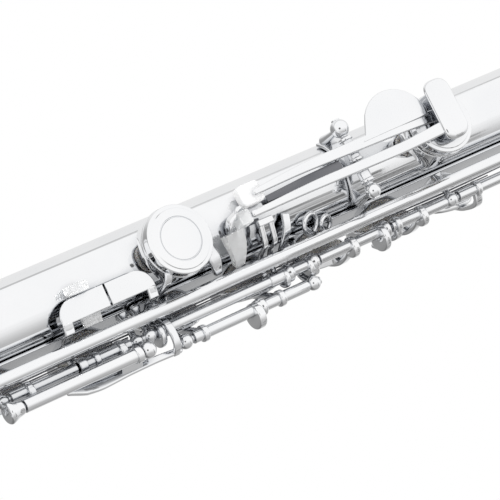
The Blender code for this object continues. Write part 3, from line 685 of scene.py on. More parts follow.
def make_tubes():
    x0, x1 = BARREL
    b = bmesh.new()
    sleeve = [(x0, 11.2), (x0 + 0.5, 11.45), (x0 + 2.4, 11.45), (x0 + 3.0, 10.95), (x1 - 3.4, 10.95),
              (x1 - 2.8, 11.35), (x1 - 0.4, 11.35), (x1, 11.1), (x1, 10.25), (x0, 10.25)]
    tube(b, fillet(sleeve, 0.35, 4, closed=True))
    fine(b, "barrel", "body", "silver", flats=False)

    b = bmesh.new()
    tube(b, [(BODY[0], TUBE_R), (BODY[1], TUBE_R), (BODY[1], BORE_R), (BODY[0], BORE_R)])
    body = fine(b, "body_tube", "body", "silver", flats=False)
    make_holes(body, "body", [name for name in HOLES if HOLE_X[name] < BODY[1]])

    b = bmesh.new()
    step = SOCKET + 12.0
    line = [(SOCKET, 10.95), (SOCKET + 0.3, 11.2), (SOCKET + 1.6, 11.2), (SOCKET + 2.0, 10.95), (step, 10.95),
            (step + 0.6, TUBE_R), (LENGTH - 3.4, TUBE_R), (LENGTH - 2.6, 10.4), (LENGTH, 10.4),
            (LENGTH, BORE_R), (SOCKET + 10.1, BORE_R), (SOCKET + 10.1, 10.2), (SOCKET, 10.2)]
    tube(b, fillet(line, 0.3, 4, closed=True))
    foot = fine(b, "foot_tube", "foot", "silver", flats=False)
    make_holes(foot, "foot", [name for name in HOLES if HOLE_X[name] > BODY[1]])


# ---------------------------------------------------------------- ribs, posts and steels
def rib(b, angle, x0, x1, width):
    """A strap bent round the tube, with rounded corners and edges."""
    low, high = TUBE_R + 0.25, 11.0
    half = width / 2
    outline = rounded([(x0, -half), (x1, -half), (x1, half), (x0, half)], min(half, 1.2), 5)
    dense = []
    for i, (u, v) in enumerate(outline):
        u2, v2 = outline[(i + 1) % len(outline)]
        steps = max(1, round(abs(v2 - v) / 1.2))
        dense += [(between(u, u2, k / steps), between(v, v2, k / steps)) for k in range(steps)]

    def place(u, v, level):
        return around(angle + math.degrees(v / TUBE_R), u, 0, level)

    if width < 5:
        plate(b, dense, place, low, high, edge=0.25)
        return
    # A wide saddle is made from strips across it, because it bends a long way round.
    count = round(width / 1.2)
    rings = []
    for i in range(count + 1):
        a = angle + math.degrees((width * i / count - half) / TUBE_R)
        rings.append([around(a, u, 0, level) for u, level in
                      fillet([(x0, low), (x1, low), (x1, high), (x0, high)], 0.25, 3, closed=True)])
    skin(b, rings)


def stalk(b, points, radii, per=5, sides=20):
    """A round neck along points; radii are spread evenly along it."""
    line = spline(points, per)
    last = len(line) - 1
    rings = []
    first = None
    for i, p in enumerate(line):
        run = (line[min(i + 1, last)] - line[max(i - 1, 0)]).normalized()
        first = run.orthogonal() if first is None else first - run * run.dot(first)
        first = first.normalized()
        second = run.cross(first)
        r = level_at(radii, i / last)
        rings.append([p + r * (u * first + v * second) for u, v in circle(sides)])
    skin(b, rings)


def screw_heads(b, centre, axis, away, radius, thick, edge):
    """A flat screw head on each side of a ball post."""
    face = fillet([(0, 0), (0, radius), (thick, radius), (thick, 0)], edge, 2)
    for side in (-1, 1):
        lathe(b, centre + axis * (side * away), axis * side, face, 20)


def post(b, place, x, angle, radius=BALL_R, via=()):
    """A turned post: a flared foot on the rib, a waisted neck, and a ball round the rod."""
    foot = around(angle, x, 0, 10.7)
    end = Vector((x, *place))
    points = [foot] + [Vector((x, p.y, p.z)) for p in via] + [end]
    stalk(b, points, (1.75, 1.25, 0.85, 0.8, 0.85, 0.9, 0.95) if not via else (1.5, 1.0, 0.9, 0.9, 0.9))
    globe(b, end, radius)
    screw_heads(b, end, Vector((1, 0, 0)), radius * 0.86, 1.0, 0.35, 0.1)


MAIN_POSTS = (296.5, 340.8, 438.4)
RIGHT_POSTS = (442.2, 480.8, 518.0, 539.2)
OFFSET_POSTS = (389.8, 430.0)
SHARP_POSTS = (442.2, 480.8)
TRILL_POSTS = ((255.0, 270.0), (494.0, 526.0))
FOOT_POSTS = (557.6, 610.6, 646.0)
RIB_SHIFT = 6.0
RIB_WIDTH = 3.8


def make_brackets():
    """Stop brackets soldered behind the thumb keys, one with a clear bumper, and the needle springs."""
    b = bmesh.new()
    sweep(b, [rear(416.0, 2.2, 10.8), rear(415.8, 5.8, 11.3), rear(415.2, 9.2, 9.4)], (1, 0, 0), 3.6, 1.6,
          widths=(0.8, 1.0, 0.7), corner=0.4)
    sweep(b, [rear(403.6, -2.4, 11.4), rear(405.4, -1.7, 12.4), rear(408.0, -0.6, 12.3),
              rear(408.6, 2.0, 11.3),
              rear(408.2, 5.6, 9.2)], rear(0, 0.5, 1), 2.2, 1.5, corner=0.38)
    sweep(b, [rear(391.4, 3.0, 10.4), rear(392.4, 6.6, 9.8), rear(394.2, 10.6, 7.0)], rear(1, 0, 0.3), 2.6,
          0.9,
          corner=0.3)
    for x, across, out, r in ((384.3, 7.6, 8.3, 2.6), (379.3, 9.0, 7.2, 1.9), (404.8, -1.9, 12.6, 1.0)):
        wire = [(0.6 * v, r + 0.6 * u) for u, v in circle(12)]
        lathe(b, rear(x, across, out), rear(-0.3, 0.5, 1), wire, 36, loop=True)
        stalk(b, [rear(x, across, out - 3.6), rear(x, across + r, out)], (0.9, 0.6, 0.5))
    done(b, "stop_brackets", "body", "silver")
    b = bmesh.new()
    sweep(b, [rear(409.6, 2.0, 13.3), rear(409.4, 4.4, 12.9), rear(408.8, 7.2, 11.0),
              rear(408.3, 9.6, 8.6)], (1, 0, 0),
          5.4, 2.8, widths=(1.0, 0.95, 0.7, 0.5), thicks=(1.0, 0.9, 0.6), corner=0.08, dome=0.0, per=2)
    # Painted shade: the stop bumper gets the darker copy of the clear rubber.
    done(b, "stop_bumper", "body", "clear_rubber", look="clear_in_shade")
    b = bmesh.new()
    for x0, reach in ((438.4, -26.0), (438.4, -15.0), (340.8, 18.0), (389.8, 24.0), (430.0, -20.0),
                      (442.2, 22.0), (480.8, -24.0), (480.8, 22.0), (518.0, -20.0), (539.2, -14.0),
                      (340.8, -20.0), (296.5, 14.0)):
        needle(b, (14.2, 5.2), x0, x0 + reach)
        needle(b, (14.9, 4.0), x0, x0 + 0.8 * reach)
    done(b, "needle_springs", "body", "steel", look="spring_dark_and_shade")


def posts_on_rib(b, xs, before, after, radius=BALL_R):
    """A rib beside the main rod with a post for each x, and its length past the outer two."""
    rib(b, RIB_ANGLE - RIB_SHIFT, xs[0] - before, xs[-1] + after, RIB_WIDTH)
    for x in xs:
        post(b, MAIN, x, RIB_ANGLE - 3, radius)


def make_posts():
    lean = (rear(0, 14.9, 4.2), rear(0, 18.3, 3.4))
    b = bmesh.new()
    posts_on_rib(b, MAIN_POSTS, 4, 1.3)
    for x in OFFSET_POSTS:
        post(b, OFFSET, x, RIB_ANGLE - 5, via=lean)
    fine(b, "left_hand_rib", "body", "silver")

    b = bmesh.new()
    posts_on_rib(b, RIGHT_POSTS, 1.6, 1.3, 1.7)
    for x in SHARP_POSTS:
        stalk(b, [Vector((x, *MAIN)), Vector((x, *SHARP))], (0.9, 0.8, 0.9))
    end = Vector((SHARP_POSTS[0], *SHARP))
    globe(b, end, 2.1)
    # The outer post of the G sharp rod is a bell that widens away from its key.
    bell = [(-2.6, 0), (-2.6, 1.3), (-2.2, 1.7), (-0.6, 2.0), (0.8, 2.6), (1.5, 2.75), (2.0, 2.3), (2.2, 0)]
    lathe(b, (SHARP_POSTS[1], *SHARP), (1, 0, 0), fillet(bell, 0.4, 4), 32)
    fine(b, "right_hand_rib", "body", "silver")

    for name, (x0, x1) in zip(("trill_rib_head", "trill_rib_foot"), TRILL_POSTS):
        b = bmesh.new()
        rib(b, 78.0, x0 - 3, x1 + 3, 3.0)
        for x in (x0, x1):
            post(b, TRILL, x, 76.0)
        fine(b, name, "body", "silver")

    b = bmesh.new()
    posts_on_rib(b, FOOT_POSTS, 1.6, 3)
    fine(b, "foot_rib", "foot", "silver")

    b = bmesh.new()
    rib(b, THUMB_ANGLE + 4, THUMB_X - 2.2, THUMB_X + 2.2, 19.4)
    for across, low, r in ((-9.2, 6.1, 2.4), (8.5, 7.0, 2.0)):
        start, top = thumb(THUMB_X, across, low), thumb(THUMB_X, across, THUMB_OUT)
        stalk(b, [start, between(start, top, 0.5), top], (1.5, 1.15, 0.95, 0.9, 0.95))
        globe(b, top, r, THUMB_AXIS)
        screw_heads(b, top, THUMB_AXIS, r * 0.87, 1.1, 0.4, 0.12)
    fine(b, "thumb_saddle", "body", "silver")

    make_brackets()
    for name, place, body in (("main_steel", MAIN, "a_sharp"), ("offset_g_steel", OFFSET, "body"),
                              ("g_sharp_steel", SHARP, "body"), ("right_steel", MAIN, "body"),
                              ("foot_steel", MAIN, "foot")):
        b = bmesh.new()
        rod(b, place, *span_of(name), STEEL_R, 0.15, 20)
        fine(b, name, body, "steel")
    b = bmesh.new()
    line = fillet([(0, 0), (0, STEEL_R), (19.4, STEEL_R), (19.4, 0)], 0.15, 3)
    lathe(b, thumb(THUMB_X, -10.2, THUMB_OUT), THUMB_AXIS, line, 20)
    fine(b, "thumb_steel", "body", "steel")


# ---------------------------------------------------------------- keys
def cup(b, name):
    """A key cup with a bead at its rim and a raised ring on its top, closed."""
    centre, out = over_hole(name, HOLE_TOP)
    r = CUP_R[name]
    top = CUP_HEIGHT - cup_drop(name)
    seat = top - 1.2
    # A bead runs round the foot of the wall, and the shoulder falls in two soft steps.
    wall = [(seat, 0), (seat, r - 0.5), (CUP_BASE, r - 0.5), (CUP_BASE, r - 0.1), (CUP_BASE + 0.15, r),
            (CUP_BASE + 0.55, r), (CUP_BASE + 0.7, r - 0.12), (CUP_BASE + 0.9, r - 0.18)]
    rim = fillet([(top - 1.6, r - 0.18), (top - 0.32, r - 0.18), (top - 0.26, r * 0.885)], 0.8, 7)
    face = [(top - 0.24, r * 0.87), (top - 0.02, r * 0.85), (top + 0.10, r * 0.70), (top + 0.14, r * 0.655),
            (top + 0.10, r * 0.635), (top - 0.14, r * 0.62), (top - 0.14, r * 0.60), (top + 0.06, r * 0.585),
            (top + 0.16, r * 0.5), (top + 0.24, r * 0.25), (top + 0.26, 0)]
    lathe(b, centre, out, wall + rim + face, 72)


def pad(b, name):
    centre, out = over_hole(name, HOLE_TOP)
    r = CUP_R[name] - 0.85
    top = 2.5 - cup_drop(name)
    groove = hole_size(name) + 0.4
    line = [(0.5, 0), (0.42, groove - 1.4), (0.55, groove - 0.1), (0.52, groove + 0.3), (0.34, r - 0.7),
            (0.5, r - 0.2), (0.95, r), (top, r), (top, 0)]
    lathe(b, centre, out, fillet(line, 0.3, 3), 56)


def hinge(b, place, x0, x1, radius=HINGE_R):
    rod(b, place, x0, x1, radius, 0.18)


def collar(b, place, x, width=1.6, radius=COLLAR_R + 0.05):
    rod(b, place, x - width / 2, x + width / 2, radius, 0.4)


def over_arm(b, name, place, x):
    """The arm from a collar on the rod up and over the cup's top to its middle, closed."""
    top = HOLE_TOP + CUP_HEIGHT + 0.35 - cup_drop(name)
    end = around(HOLE_ANGLE[name], HOLE_X[name], 0, top)
    level = around(HOLE_ANGLE[name], x, 1.4 - CUP_R[name], top)
    start = Vector((x, *place))
    steps = [start, level, between(level, end, 0.5), end]
    if level.z - start.z > 3:
        steps.insert(1, Vector((x, start.y + 2.7, between(start.z, level.z, 0.6))))
    sweep(b, steps, (1, 0, 0), 2.3, 1.7, widths=(1.05, 1.0, 1.0, 0.7), thicks=(1.1, 0.85, 0.6, 0.5),
          corner=0.32)
    if place == MAIN:
        cam(b, place, x, 2.55, (0.75, -0.3), 1.7, ring=False)


def add_key(name, place, span, holes, extra=None, turn=OPEN):
    """A key on a rod along X, as in the frame: hinge, collars, arms and cups, and its pads."""
    b = bmesh.new()
    hinge(b, place, *span)
    start = len(b.verts)
    for hole, x in holes.items():
        cup(b, hole)
        over_arm(b, hole, place, x)
    turned_about(b, start, (0, *place), turn)
    for x in holes.values():
        collar(b, place, x)
    if extra:
        extra(b)
    fine(b, name + "_key", name, "silver")
    for hole in holes:
        b = bmesh.new()
        pad(b, hole)
        turned_about(b, 0, (0, *place), turn)
        fine(b, hole + "_pad", name, "pad_skin", flats=False)


def hook(b, place, x, reach=4.2):
    """A short clutch arm that curls from a collar over the top of the rod."""
    y, z = place
    points = [(x, y, z), (x, y - 0.6, z + 2.4), (x, y + 1.6, z + reach), (x, y + 4.4, z + reach + 0.5)]
    sweep(b, points, (1, 0, 0), 1.9, 1.5, widths=(1.1, 1.0, 0.7), thicks=(1.1, 1.0, 0.7), corner=0.3)
    collar(b, place, x)


def cam(b, place, x, radius=3.3, off=(1.3, -0.6), width=1.6, ring=True):
    """A crescent clutch arm on a rod: a domed disc set off to the player's side, beside its collar."""
    centre = Vector((x, *place)) + off[0] * rear(0, 1, 0) + off[1] * rear(0, 0, 1)
    half = width / 2
    line = [(-half - 0.4, 0), (-half - 0.15, radius * 0.6), (-half, radius), (half, radius),
            (half + 0.3, radius * 0.6), (half + 0.4, 0)]
    lathe(b, centre, (1, 0, 0), fillet(line, 0.45, 4), 44)
    if ring:
        bevelled_collar(b, place, x - half - 1.0)


def bevelled_collar(b, place, x):
    """A collar that widens in a bevel to a bright flat ring."""
    half, radius = 1.2, 2.35
    line = [(-half, 0), (-half, HINGE_R + 0.1), (-half * 0.35, radius), (half * 0.35, radius),
            (half, HINGE_R + 0.3), (half, 0)]
    lathe(b, Vector((x, *place)), (1, 0, 0), fillet(line, 0.16, 3), 32)


def needle(b, place, x0, x1):
    """A straight wire spring from a post to its catch."""
    start, end = rear(x0, *place), rear(x1, place[0] - 0.2, place[1] + 0.3)
    stalk(b, [start, end], (0.24, 0.22, 0.16), 6, 10)


def rear_leg(b, x0, x1, width, more=()):
    """A leg from the main rod, between the trill tube and the body, out to the rear."""
    route = [(16.4, 5.4), (14.4, 5.0), (11.7, 5.6), (9.6, 7.4), (8.8, 9.6), (7.8, 11.1), (6.2, 11.75), *more]
    points = [rear(between(x0, x1, min(1.0, i / 4)), *p) for i, p in enumerate(route)]
    sweep(b, points, (1, 0, 0), width, 0.95, corner=0.28)


def link_plate(b, outer_x, split_x):
    """Half of the split frame: a bar and a leg in one flat plate, rounded where they meet."""
    away = 1 if outer_x > split_x else -1
    low, high = 0.9, 6.4
    leg = 2.7
    outline = [(split_x, low), (split_x, high), (outer_x - away * leg, high), (outer_x - away * leg, 8.8),
               (outer_x, 8.8), (outer_x, low + 4.6)]
    for i in range(1, 9):
        turn = math.radians(90 * i / 8)
        outline.append((outer_x - away * 4.6 * (1 - math.cos(turn)), low + 4.6 * (1 - math.sin(turn))))

    def place(u, v, level):
        fall = max(0.0, v - 6.6)
        return rear(u, v, level - 0.16 * fall * fall)

    plate(b, outline, place, 11.35, 12.15, edge=0.3)


def touch_disc(b, x, y, radius, height):
    line = fillet([(0, 0), (0, radius - 0.4), (0.5, radius), (1.3, radius), (1.8, radius - 0.6), (1.62, 0)],
                  0.45, 4)
    lathe(b, (x, y, height), (0, 0, 1), line, 56)


def make_left_hand():
    def c_sharp(b):
        start = len(b.verts)
        touch_disc(b, 332.0, 0.0, 7.2, 15.4)
        sweep(b, [(332.0, *MAIN), (332.0, -13.4, 15.2), (332.0, -8.6, 17.0), (332.0, -4.8, 17.3),
                  (332.0, -1.0, 17.2)],
              (1, 0, 0), 2.3, 1.6, widths=(1.05, 1, 1, 0.7), thicks=(1.1, 0.85, 0.6, 0.5))
        turned_about(b, start, (0, *MAIN), OPEN)
        collar(b, MAIN, 332.0)

    add_key("c_sharp", MAIN, (298.7, 338.5), {"c_sharp": 303.0}, c_sharp)
    add_key("a_sharp", MAIN, (343.0, 361.6), {"a_sharp": 351.5}, lambda b: hook(b, MAIN, 359.8))

    b = bmesh.new()
    hinge(b, MAIN, 386.2, 436.3)
    for x, width, r in ((387.3, 1.7, 2.1), (395.4, 1.7, 2.1), (399.1, 5.2, 1.8), (434.6, 1.0, 2.1)):
        collar(b, MAIN, x, width, r)
    for x in (397.6, 400.6):
        rear_leg(b, x, x, 1.3, [(4.4, 12.3), (2.6, 12.8)])
    lug = rounded([(396.8, 1.7), (401.4, 1.7), (401.4, 3.4), (396.8, 3.4)], 0.5)
    plate(b, lug, rear, 12.2, 13.4, edge=0.25)
    rear_leg(b, 435.7, 435.2, 2.0)
    link_plate(b, 433.9, 446.7)
    hook(b, MAIN, 387.3, 3.6)
    cam(b, MAIN, 389.2, 2.6, (0.6, -0.4), 1.2)
    cam(b, MAIN, 396.9, 2.6, (0.6, -0.4), 1.2)
    cam(b, MAIN, 435.7, 3.1, (0.8, -0.7), 1.3, ring=False)
    fine(b, "link_sleeve", "a_sharp", "silver")

    def a_arm(b):
        hook(b, MAIN, 364.0, 5.0)
        cam(b, MAIN, 365.4, 3.5, (1.5, -0.5))

    def g_arm(b):
        hook(b, OFFSET, 407.5, 2.6)
        cam(b, OFFSET, 408.6, 3.3, (1.5, -0.5), 2.0)

    add_key("a", MAIN, (363.0, 385.6), {"a": 374.8}, a_arm)
    add_key("g", OFFSET, (392.0, 427.7), {"g_upper": 400.5, "g_lower": 424.5}, g_arm, turn=OPEN_G)


def make_g_sharp():
    b = bmesh.new()
    hinge(b, SHARP, 444.4, 477.9, LONG_R)
    cup(b, "g_sharp")
    route = [(433.9, 23.0, 7.6), (433.9, 20.9, 9.9), (433.9, 17.2, 9.95), (433.9, 14.75, 8.55),
             (433.9, 13.4, 6.9), (433.9, 11.6, 6.1), (433.6, 9.6, 7.4), (432.6, 8.4, 9.4),
             (431.9, 7.4, 11.8), (431.5, 6.4, 13.8), (431.2, 4.9, 14.6)]
    sweep(b, [rear(*p) for p in route], (1, 0, 0), 1.9, 1.1, corner=0.34, per=4)
    blade = [(432.9, 22.6, 7.5), (440.0, 22.3, 7.7), (448.0, 22.2, 7.9), (456.0, 22.2, 8.3),
             (461.0, 21.7, 9.0), (465.6, 20.9, 10.2)]
    sweep(b, [rear(*p) for p in blade], rear(0, 1, 0.45), 2.9, 1.2, widths=(0.55, 0.62, 0.75, 1.0, 1.05, 0.5),
          corner=0.36, dome=0.9)
    sweep(b, [rear(447.0, 19.4, 10.0), rear(447.0, 22.0, 8.2)], (1, 0, 0), 6.0, 1.2, corner=0.25)
    collar(b, SHARP, 445.3, 1.8, LONG_R + 0.45)
    fine(b, "g_sharp_key", "g_sharp", "silver")
    b = bmesh.new()
    pad(b, "g_sharp")
    fine(b, "g_sharp_pad", "g_sharp", "pad_skin", flats=False)


# ---------------------------------------------------------------- thumb keys
ARM_LEVEL = 16.9


def tip_open(b):
    turned_about(b, 0, thumb(THUMB_X, 0, THUMB_OUT), OPEN_THUMB, THUMB_AXIS)


def block(b, x0, x1, a0, a1, low, high, edge=0.4, corner=0.6):
    plate(b, rounded([(x0, a0), (x1, a0), (x1, a1), (x0, a1)], corner, 4), thumb, low, high, edge=edge)


def barrel(b, across, length):
    line = [(0, 0), (0, 1.9), (0.7, 1.9), (0.8, 1.6), (length - 0.8, 1.6), (length - 0.7, 1.9),
            (length, 1.9), (length, 0)]
    lathe(b, thumb(THUMB_X, across, THUMB_OUT), THUMB_AXIS, fillet(line, 0.12, 2), 36)


def make_thumb():
    b = bmesh.new()
    barrel(b, -6.4, 6.5)
    sweep(b, [thumb(399.0, -2.9, ARM_LEVEL - 0.4), thumb(384.0, -3.4, ARM_LEVEL),
              thumb(THUMB_X, -3.2, ARM_LEVEL), thumb(354.0, -2.9, ARM_LEVEL),
              thumb(345.0, -2.4, ARM_LEVEL - 0.35),
              thumb(341.5, -2.0, ARM_LEVEL - 0.45)],
          THUMB_AXIS, 3.1, 1.2, widths=(0.5, 0.85, 1.0, 1.05, 1.1), corner=0.34)
    block(b, THUMB_X - 1.4, THUMB_X + 1.4, -4.4, -2.0, THUMB_OUT + 0.9, ARM_LEVEL, 0.2)
    # The touch is half a round plate whose foot-side shoulder runs softly into the arm.
    outline = [(344.6, -3.0), (344.3, -5.0)]
    for i in range(13):
        turn = math.radians(14 + 142 * i / 12)
        outline.append((353.7 - 9.4 * math.cos(turn), -3.9 - 9.3 * math.sin(turn)))
    outline += [(363.9, -4.6), (365.8, -3.0)]
    plate(b, outline, thumb, ARM_LEVEL - 0.27, ARM_LEVEL + 0.72, edge=0.4, crown=-0.35, rings_in=6)
    cup(b, "thumb")
    tip_open(b)
    fine(b, "thumb_b_key", "thumb_b", "silver")
    b = bmesh.new()
    # The flat spring under the thumb arms is dark steel, which also paints the shade in the gap between the
    # arms.
    sweep(b, [thumb(373.0, -0.7, 15.0), thumb(384.0, -0.7, 14.4), thumb(395.0, -0.7, 13.2)], THUMB_AXIS,
          2.6, 0.3, widths=(1.0, 0.9, 0.6), corner=0.1)
    tip_open(b)
    done(b, "thumb_spring_and_gap_shade", "thumb_b", "steel", look="spring_dark_and_shade")

    b = bmesh.new()
    pad(b, "thumb")
    tip_open(b)
    fine(b, "thumb_pad", "thumb_b", "pad_skin", flats=False)
    b = bmesh.new()
    block(b, 396.2, 402.6, -6.0, -0.6, 12.4, ARM_LEVEL - 1.4, 0.5, 1.2)
    tip_open(b)
    fine(b, "thumb_stop_felt", "thumb_b", "felt")

    b = bmesh.new()
    barrel(b, 0.4, 5.6)
    sweep(b, [thumb(402.0, 1.9, ARM_LEVEL - 0.4), thumb(385.0, 1.7, ARM_LEVEL),
              thumb(THUMB_X, 1.9, ARM_LEVEL),
              thumb(356.0, 2.1, ARM_LEVEL + 0.4), thumb(350.5, 2.1, ARM_LEVEL + 1.7),
              thumb(346.0, 2.0, ARM_LEVEL + 2.7), thumb(342.0, 1.8, ARM_LEVEL + 3.2)],
          THUMB_AXIS, 2.7, 1.3, widths=(0.6, 0.9, 1.0, 1.05, 1.15, 1.2), corner=0.36)
    bean = rounded([(336.9, -10.4), (344.2, -10.4), (345.2, 6.0), (337.7, 6.0)], 3.4, 9)

    def bar(u, v, level):
        bow = 0.054 * max(0.0, v - 1.5) ** 1.5 + 0.012 * max(0.0, -2.0 - v) ** 2
        return thumb(u, v, ARM_LEVEL + 4.5 - bow + level)

    plate(b, bean, bar, -1.9, 0.0, edge=0.9, crown=0.4, rings_in=6)
    block(b, THUMB_X - 1.4, THUMB_X + 1.4, 0.8, 3.0, THUMB_OUT + 0.9, ARM_LEVEL, 0.2)
    tip_open(b)
    fine(b, "thumb_b_flat_lever", "thumb_b_flat", "silver")
    b = bmesh.new()
    block(b, 403.0, 406.4, 0.0, 3.6, 12.6, ARM_LEVEL + 0.2, 0.35)
    tip_open(b)
    fine(b, "kicker_bumper", "thumb_b_flat", "clear_rubber")


# ---------------------------------------------------------------- right hand, trills and foot
def make_right_hand():
    def f_sharp(b):
        collar(b, MAIN, 458.4, 2.2)
        collar(b, MAIN, 454.3, 1.5)
        rear_leg(b, 458.6, 459.7, 2.4)
        link_plate(b, 461.1, 447.2)

    add_key("f_sharp", MAIN, (444.3, 459.5), {"f_sharp": 447.0}, f_sharp)
    b = bmesh.new()
    outline = rounded([(451.6, -1.9), (456.8, -1.9), (456.8, 0.6), (451.6, 0.6)], 0.7)
    plate(b, outline, rear, 10.3, 14.2, edge=0.4)
    fine(b, "link_bumper", "f_sharp", "clear_rubber")
    b = bmesh.new()
    outline = rounded([(449.8, 5.4), (455.4, 5.4), (455.2, 8.8), (450.4, 8.8)], 0.3)
    plate(b, outline, rear, 9.9, 11.3, edge=0.25)
    # Painted shade: the cushion gets the darker copy of the clear rubber.
    done(b, "link_cushion", "f_sharp", "clear_rubber", look="clear_in_shade")
    add_key("f", MAIN, (460.0, 478.7), {"f": 473.5})
    add_key("e", MAIN, (483.1, 515.8), {"e": 501.0}, lambda b: hook(b, MAIN, 486.0))
    add_key("d", MAIN, (520.2, 537.1), {"d": 531.0}, lambda b: hook(b, MAIN, 522.5))


def trill_arm(b, x):
    top = HOLE_TOP + CUP_HEIGHT - 0.45
    sweep(b, [(x, *TRILL), (x, -13.6, 10.5), (x, -9.0, top - 1.0), (x, -4.0, top), (x, 0.0, top)],
          (1, 0, 0), 2.3, 1.4, widths=(1.1, 1, 1, 0.8), thicks=(1.1, 0.9, 0.7, 0.6))


def trill_touch(b, x):
    """From the trill rod round the player's side of the main rod to a finger plate."""
    sweep(b, [(x, *TRILL), (x, -18.4, 7.4), (x, -19.8, 10.6), (x, -20.4, 13.9)], (1, 0, 0), 2.2, 1.2,
          corner=0.34)
    line = fillet([(0, 0), (0, 2.8), (1.0, 3.3), (1.8, 2.6), (1.7, 0)], 0.5, 4)
    lathe(b, (x, -19.8, 13.6), (0, 0, 1), line, 40)


def make_trills():
    b = bmesh.new()
    hinge(b, TRILL, 272.3, 491.7, LONG_R)
    collar(b, TRILL, 278.0, 2.2)
    trill_arm(b, 278.0)
    trill_touch(b, 490.3)
    cup(b, "d_trill")
    fine(b, "d_trill_key", "d_trill", "silver")
    b = bmesh.new()
    rod(b, TRILL, 253.8, 527.2, STEEL_R, 0.15, 20)
    collar(b, TRILL, 263.0, 6.0)
    collar(b, TRILL, 519.0, 5.0)
    trill_arm(b, 263.0)
    trill_touch(b, 520.9)
    cup(b, "ds_trill")
    fine(b, "ds_trill_key", "ds_trill", "silver")
    for name in ("d_trill", "ds_trill"):
        b = bmesh.new()
        pad(b, name)
        fine(b, name + "_pad", name, "pad_skin", flats=False)


def make_foot():
    def spatula(b):
        outline = [(564.6, -15.2), (566.2, -19.0), (564.4, -23.4), (564.0, -26.2), (566.4, -27.6),
                   (573.0, -27.6), (575.4, -26.2), (575.6, -22.0), (572.6, -17.0), (570.6, -15.2)]

        def place(u, v, level):
            return Vector((u, v, level - 0.035 * (v + 22.0) ** 2))

        plate(b, rounded(outline, 1.6, 5), place, 13.6, 14.9, edge=0.45, crown=0.25, rings_in=6)
        sweep(b, [(568.0, *MAIN), (568.2, -15.6, 13.2), (568.4, -18.0, 13.9)], (1, 0, 0), 3.4, 1.6,
              corner=0.4)

    add_key("foot_ds", MAIN, (559.8, 582.0), {"foot_ds": 565.0}, spatula, turn=0.0)

    def c_sharp_touch(b):
        sweep(b, [(584.4, *MAIN), (584.2, -14.2, 15.0), (581.5, -13.2, 17.4), (579.0, -12.4, 17.6),
                  (578.6, -5.0, 17.2)],
              (0.8, 0.2, 0), 3.6, 1.4, widths=(0.8, 0.9, 1.0, 1.2), corner=0.4)

    add_key("foot_cs", MAIN, (582.4, 608.3), {"foot_cs": 598.0}, c_sharp_touch)

    def c_touch(b):
        sweep(b, [(614.8, *MAIN), (614.8, -16.4, 13.6), (610.0, -18.2, 15.6), (590.0, -18.2, 16.4),
                  (586.0, -14.0, 18.2), (586.0, -6.0, 17.9)], (0.6, 1.0, 0), 2.8, 1.4,
              widths=(0.9, 1.0, 1.0, 1.1, 1.3), corner=0.42)

    add_key("foot_c", MAIN, (612.9, 643.7), {"foot_c": 633.0}, c_touch)


# ---------------------------------------------------------------- floor, light and camera
OBLIQUE = math.radians(32.3)  # how far the view turns from square-on towards the foot
ROLL = math.radians(23.81)
DISTANCE = 0.6748
LENS = 196.4
LOOK = rear(398.31, 7.53, 0.0) * MM

ALONG = Vector((1, 0, 0))
ACROSS = rear(0, 1, 0)
OUT = rear(0, 0, 1)
FORWARD = -math.sin(OBLIQUE) * ALONG - math.cos(OBLIQUE) * OUT
LEVEL = -math.cos(OBLIQUE) * ALONG + math.sin(OBLIQUE) * OUT
RIGHT = math.cos(ROLL) * LEVEL + math.sin(ROLL) * ACROSS
DOWN = -math.sin(ROLL) * LEVEL + math.cos(ROLL) * ACROSS


def make_camera():
    data = bpy.data.cameras.new("camera")
    data.lens = LENS
    data.sensor_width = 36.0
    data.clip_start = 0.01
    data.clip_end = 20.0
    camera = bpy.data.objects.new("camera", data)
    turn = Matrix((RIGHT, -DOWN, -FORWARD)).transposed().to_4x4()
    camera.matrix_world = Matrix.Translation(LOOK - FORWARD * DISTANCE) @ turn
    bpy.context.scene.collection.objects.link(camera)
    bpy.context.scene.camera = camera


FLOOR_Z = -0.34


def make_floor():
    bpy.ops.mesh.primitive_plane_add(size=8.0, location=(0.33, 0.0, FLOOR_Z))
    floor = bpy.context.object
    floor.name = "floor"
    made, tree, shader = shader_of("pale_floor")
    feed(tree, shader, Base_Color=ramp(tree, noise(tree, 6, 3), (0.3, 0.80), (0.7, 0.84)), Roughness=0.7)
    floor.data.materials.append(made)
    floor.visible_glossy = False


def make_flags():
    """Dark cards curved round the object, out of sight. They put streaked greys into the tube."""
    made = bpy.data.materials.new("flag_cloth")
    made.use_nodes = True
    tree = made.node_tree
    tree.nodes.clear()
    streak = ramp(tree, noise(tree, 9, 5, (0.25, 1.0, 1.0), 0.6),
                  (0.34, 0.10), (0.46, 0.20), (0.52, 0.66), (0.57, 0.16), (0.68, 0.34))
    glow = add(tree, "ShaderNodeEmission", Color=streak)
    add(tree, "ShaderNodeOutputMaterial", Surface=glow.outputs["Emission"])
    far = 250.0
    shift = -far * math.tan(OBLIQUE)
    b = bmesh.new()
    for x0, x1, first, last in ((296, 345, 40, 84), (345, 403, 24, 84), (403, 441, 60, 88)):
        turns = [math.radians(first + (last - first) * i / 24) for i in range(25)]
        edges = [[b.verts.new(rear(x + shift, far * math.sin(t), far * math.cos(t)) * MM) for x in (x0, x1)]
                 for t in turns]
        for one, two in zip(edges, edges[1:]):
            b.faces.new((one[0], one[1], two[1], two[0]))
    mesh = bpy.data.meshes.new("flags")
    b.to_mesh(mesh)
    b.free()
    mesh.materials.append(made)
    flags = bpy.data.objects.new("flags", mesh)
    bpy.context.scene.collection.objects.link(flags)
    flags.visible_camera = False
    flags.visible_diffuse = False
    flags.visible_shadow = False
    flags.visible_transmission = False


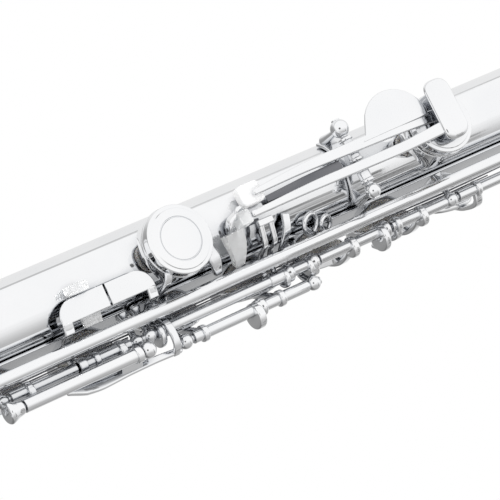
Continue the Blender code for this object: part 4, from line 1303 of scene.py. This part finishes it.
def make_world():
    """A white studio: what the metal reflects, and the even light on everything else."""
    scene = bpy.context.scene
    world = bpy.data.worlds.new("studio")
    scene.world = world
    world.use_nodes = True
    tree = world.node_tree
    tree.nodes.clear()
    place = add(tree, "ShaderNodeTexCoord")

    def facing(direction):
        """From 0, away from the direction, to 1, towards it."""
        made = add(tree, "ShaderNodeVectorMath", operation="DOT_PRODUCT")
        made.inputs[1].default_value = tuple(direction.normalized() * 0.5)
        tree.links.new(place.outputs["Generated"], made.inputs[0])
        shift = add(tree, "ShaderNodeMath", operation="ADD")
        shift.inputs[1].default_value = 0.5
        tree.links.new(made.outputs["Value"], shift.inputs[0])
        return shift.outputs["Value"]

    def levels(direction, *stops):
        return ramp(tree, facing(direction), *stops)

    # Grey cards stand behind the object, below it in the view, and behind it on the foot's side.
    parts = [
        levels(OUT, (0.0, 0.84), (0.38, 0.86), (0.40, 0.55), (0.425, 0.55), (0.445, 1.0)),
        levels(ACROSS, (0.58, 1.0), (0.72, 0.84), (0.86, 0.52), (1.0, 0.42)),
        levels(0.6 * ALONG - 0.75 * OUT + 0.2 * ACROSS, (0.70, 1.0), (0.82, 0.50), (0.92, 0.36)),
        levels(-FORWARD, (0.985, 1.0), (0.991, 0.16)),
    ]
    level = parts[0]
    for part in parts[1:]:
        level = mixed(tree, 1.0, level, part, "MULTIPLY")
    cards = add(tree, "ShaderNodeBackground", Color=level)
    even = add(tree, "ShaderNodeBackground", Strength=1.25, Color=(1.0, 1.0, 1.0, 1.0))
    seen = add(tree, "ShaderNodeBackground", Strength=1.0, Color=(1.0, 1.0, 1.0, 1.0))
    path = add(tree, "ShaderNodeLightPath")

    def chosen(ray, others, own):
        """One background for a kind of ray and another for the rest."""
        made = add(tree, "ShaderNodeMixShader", Fac=path.outputs[ray])
        tree.links.new(others, made.inputs[1])
        tree.links.new(own, made.inputs[2])
        return made.outputs["Shader"]

    lit = chosen("Is Glossy Ray", even.outputs["Background"], cards.outputs["Background"])
    add(tree, "ShaderNodeOutputWorld", Surface=chosen("Is Camera Ray", lit, seen.outputs["Background"]))
    scene.view_settings.view_transform = "Standard"
    scene.view_settings.look = "None"


make_camera()
make_world()
make_floor()
make_flags()
make_head()
make_tubes()
make_posts()
make_left_hand()
make_g_sharp()
make_thumb()
make_right_hand()
make_trills()
make_foot()
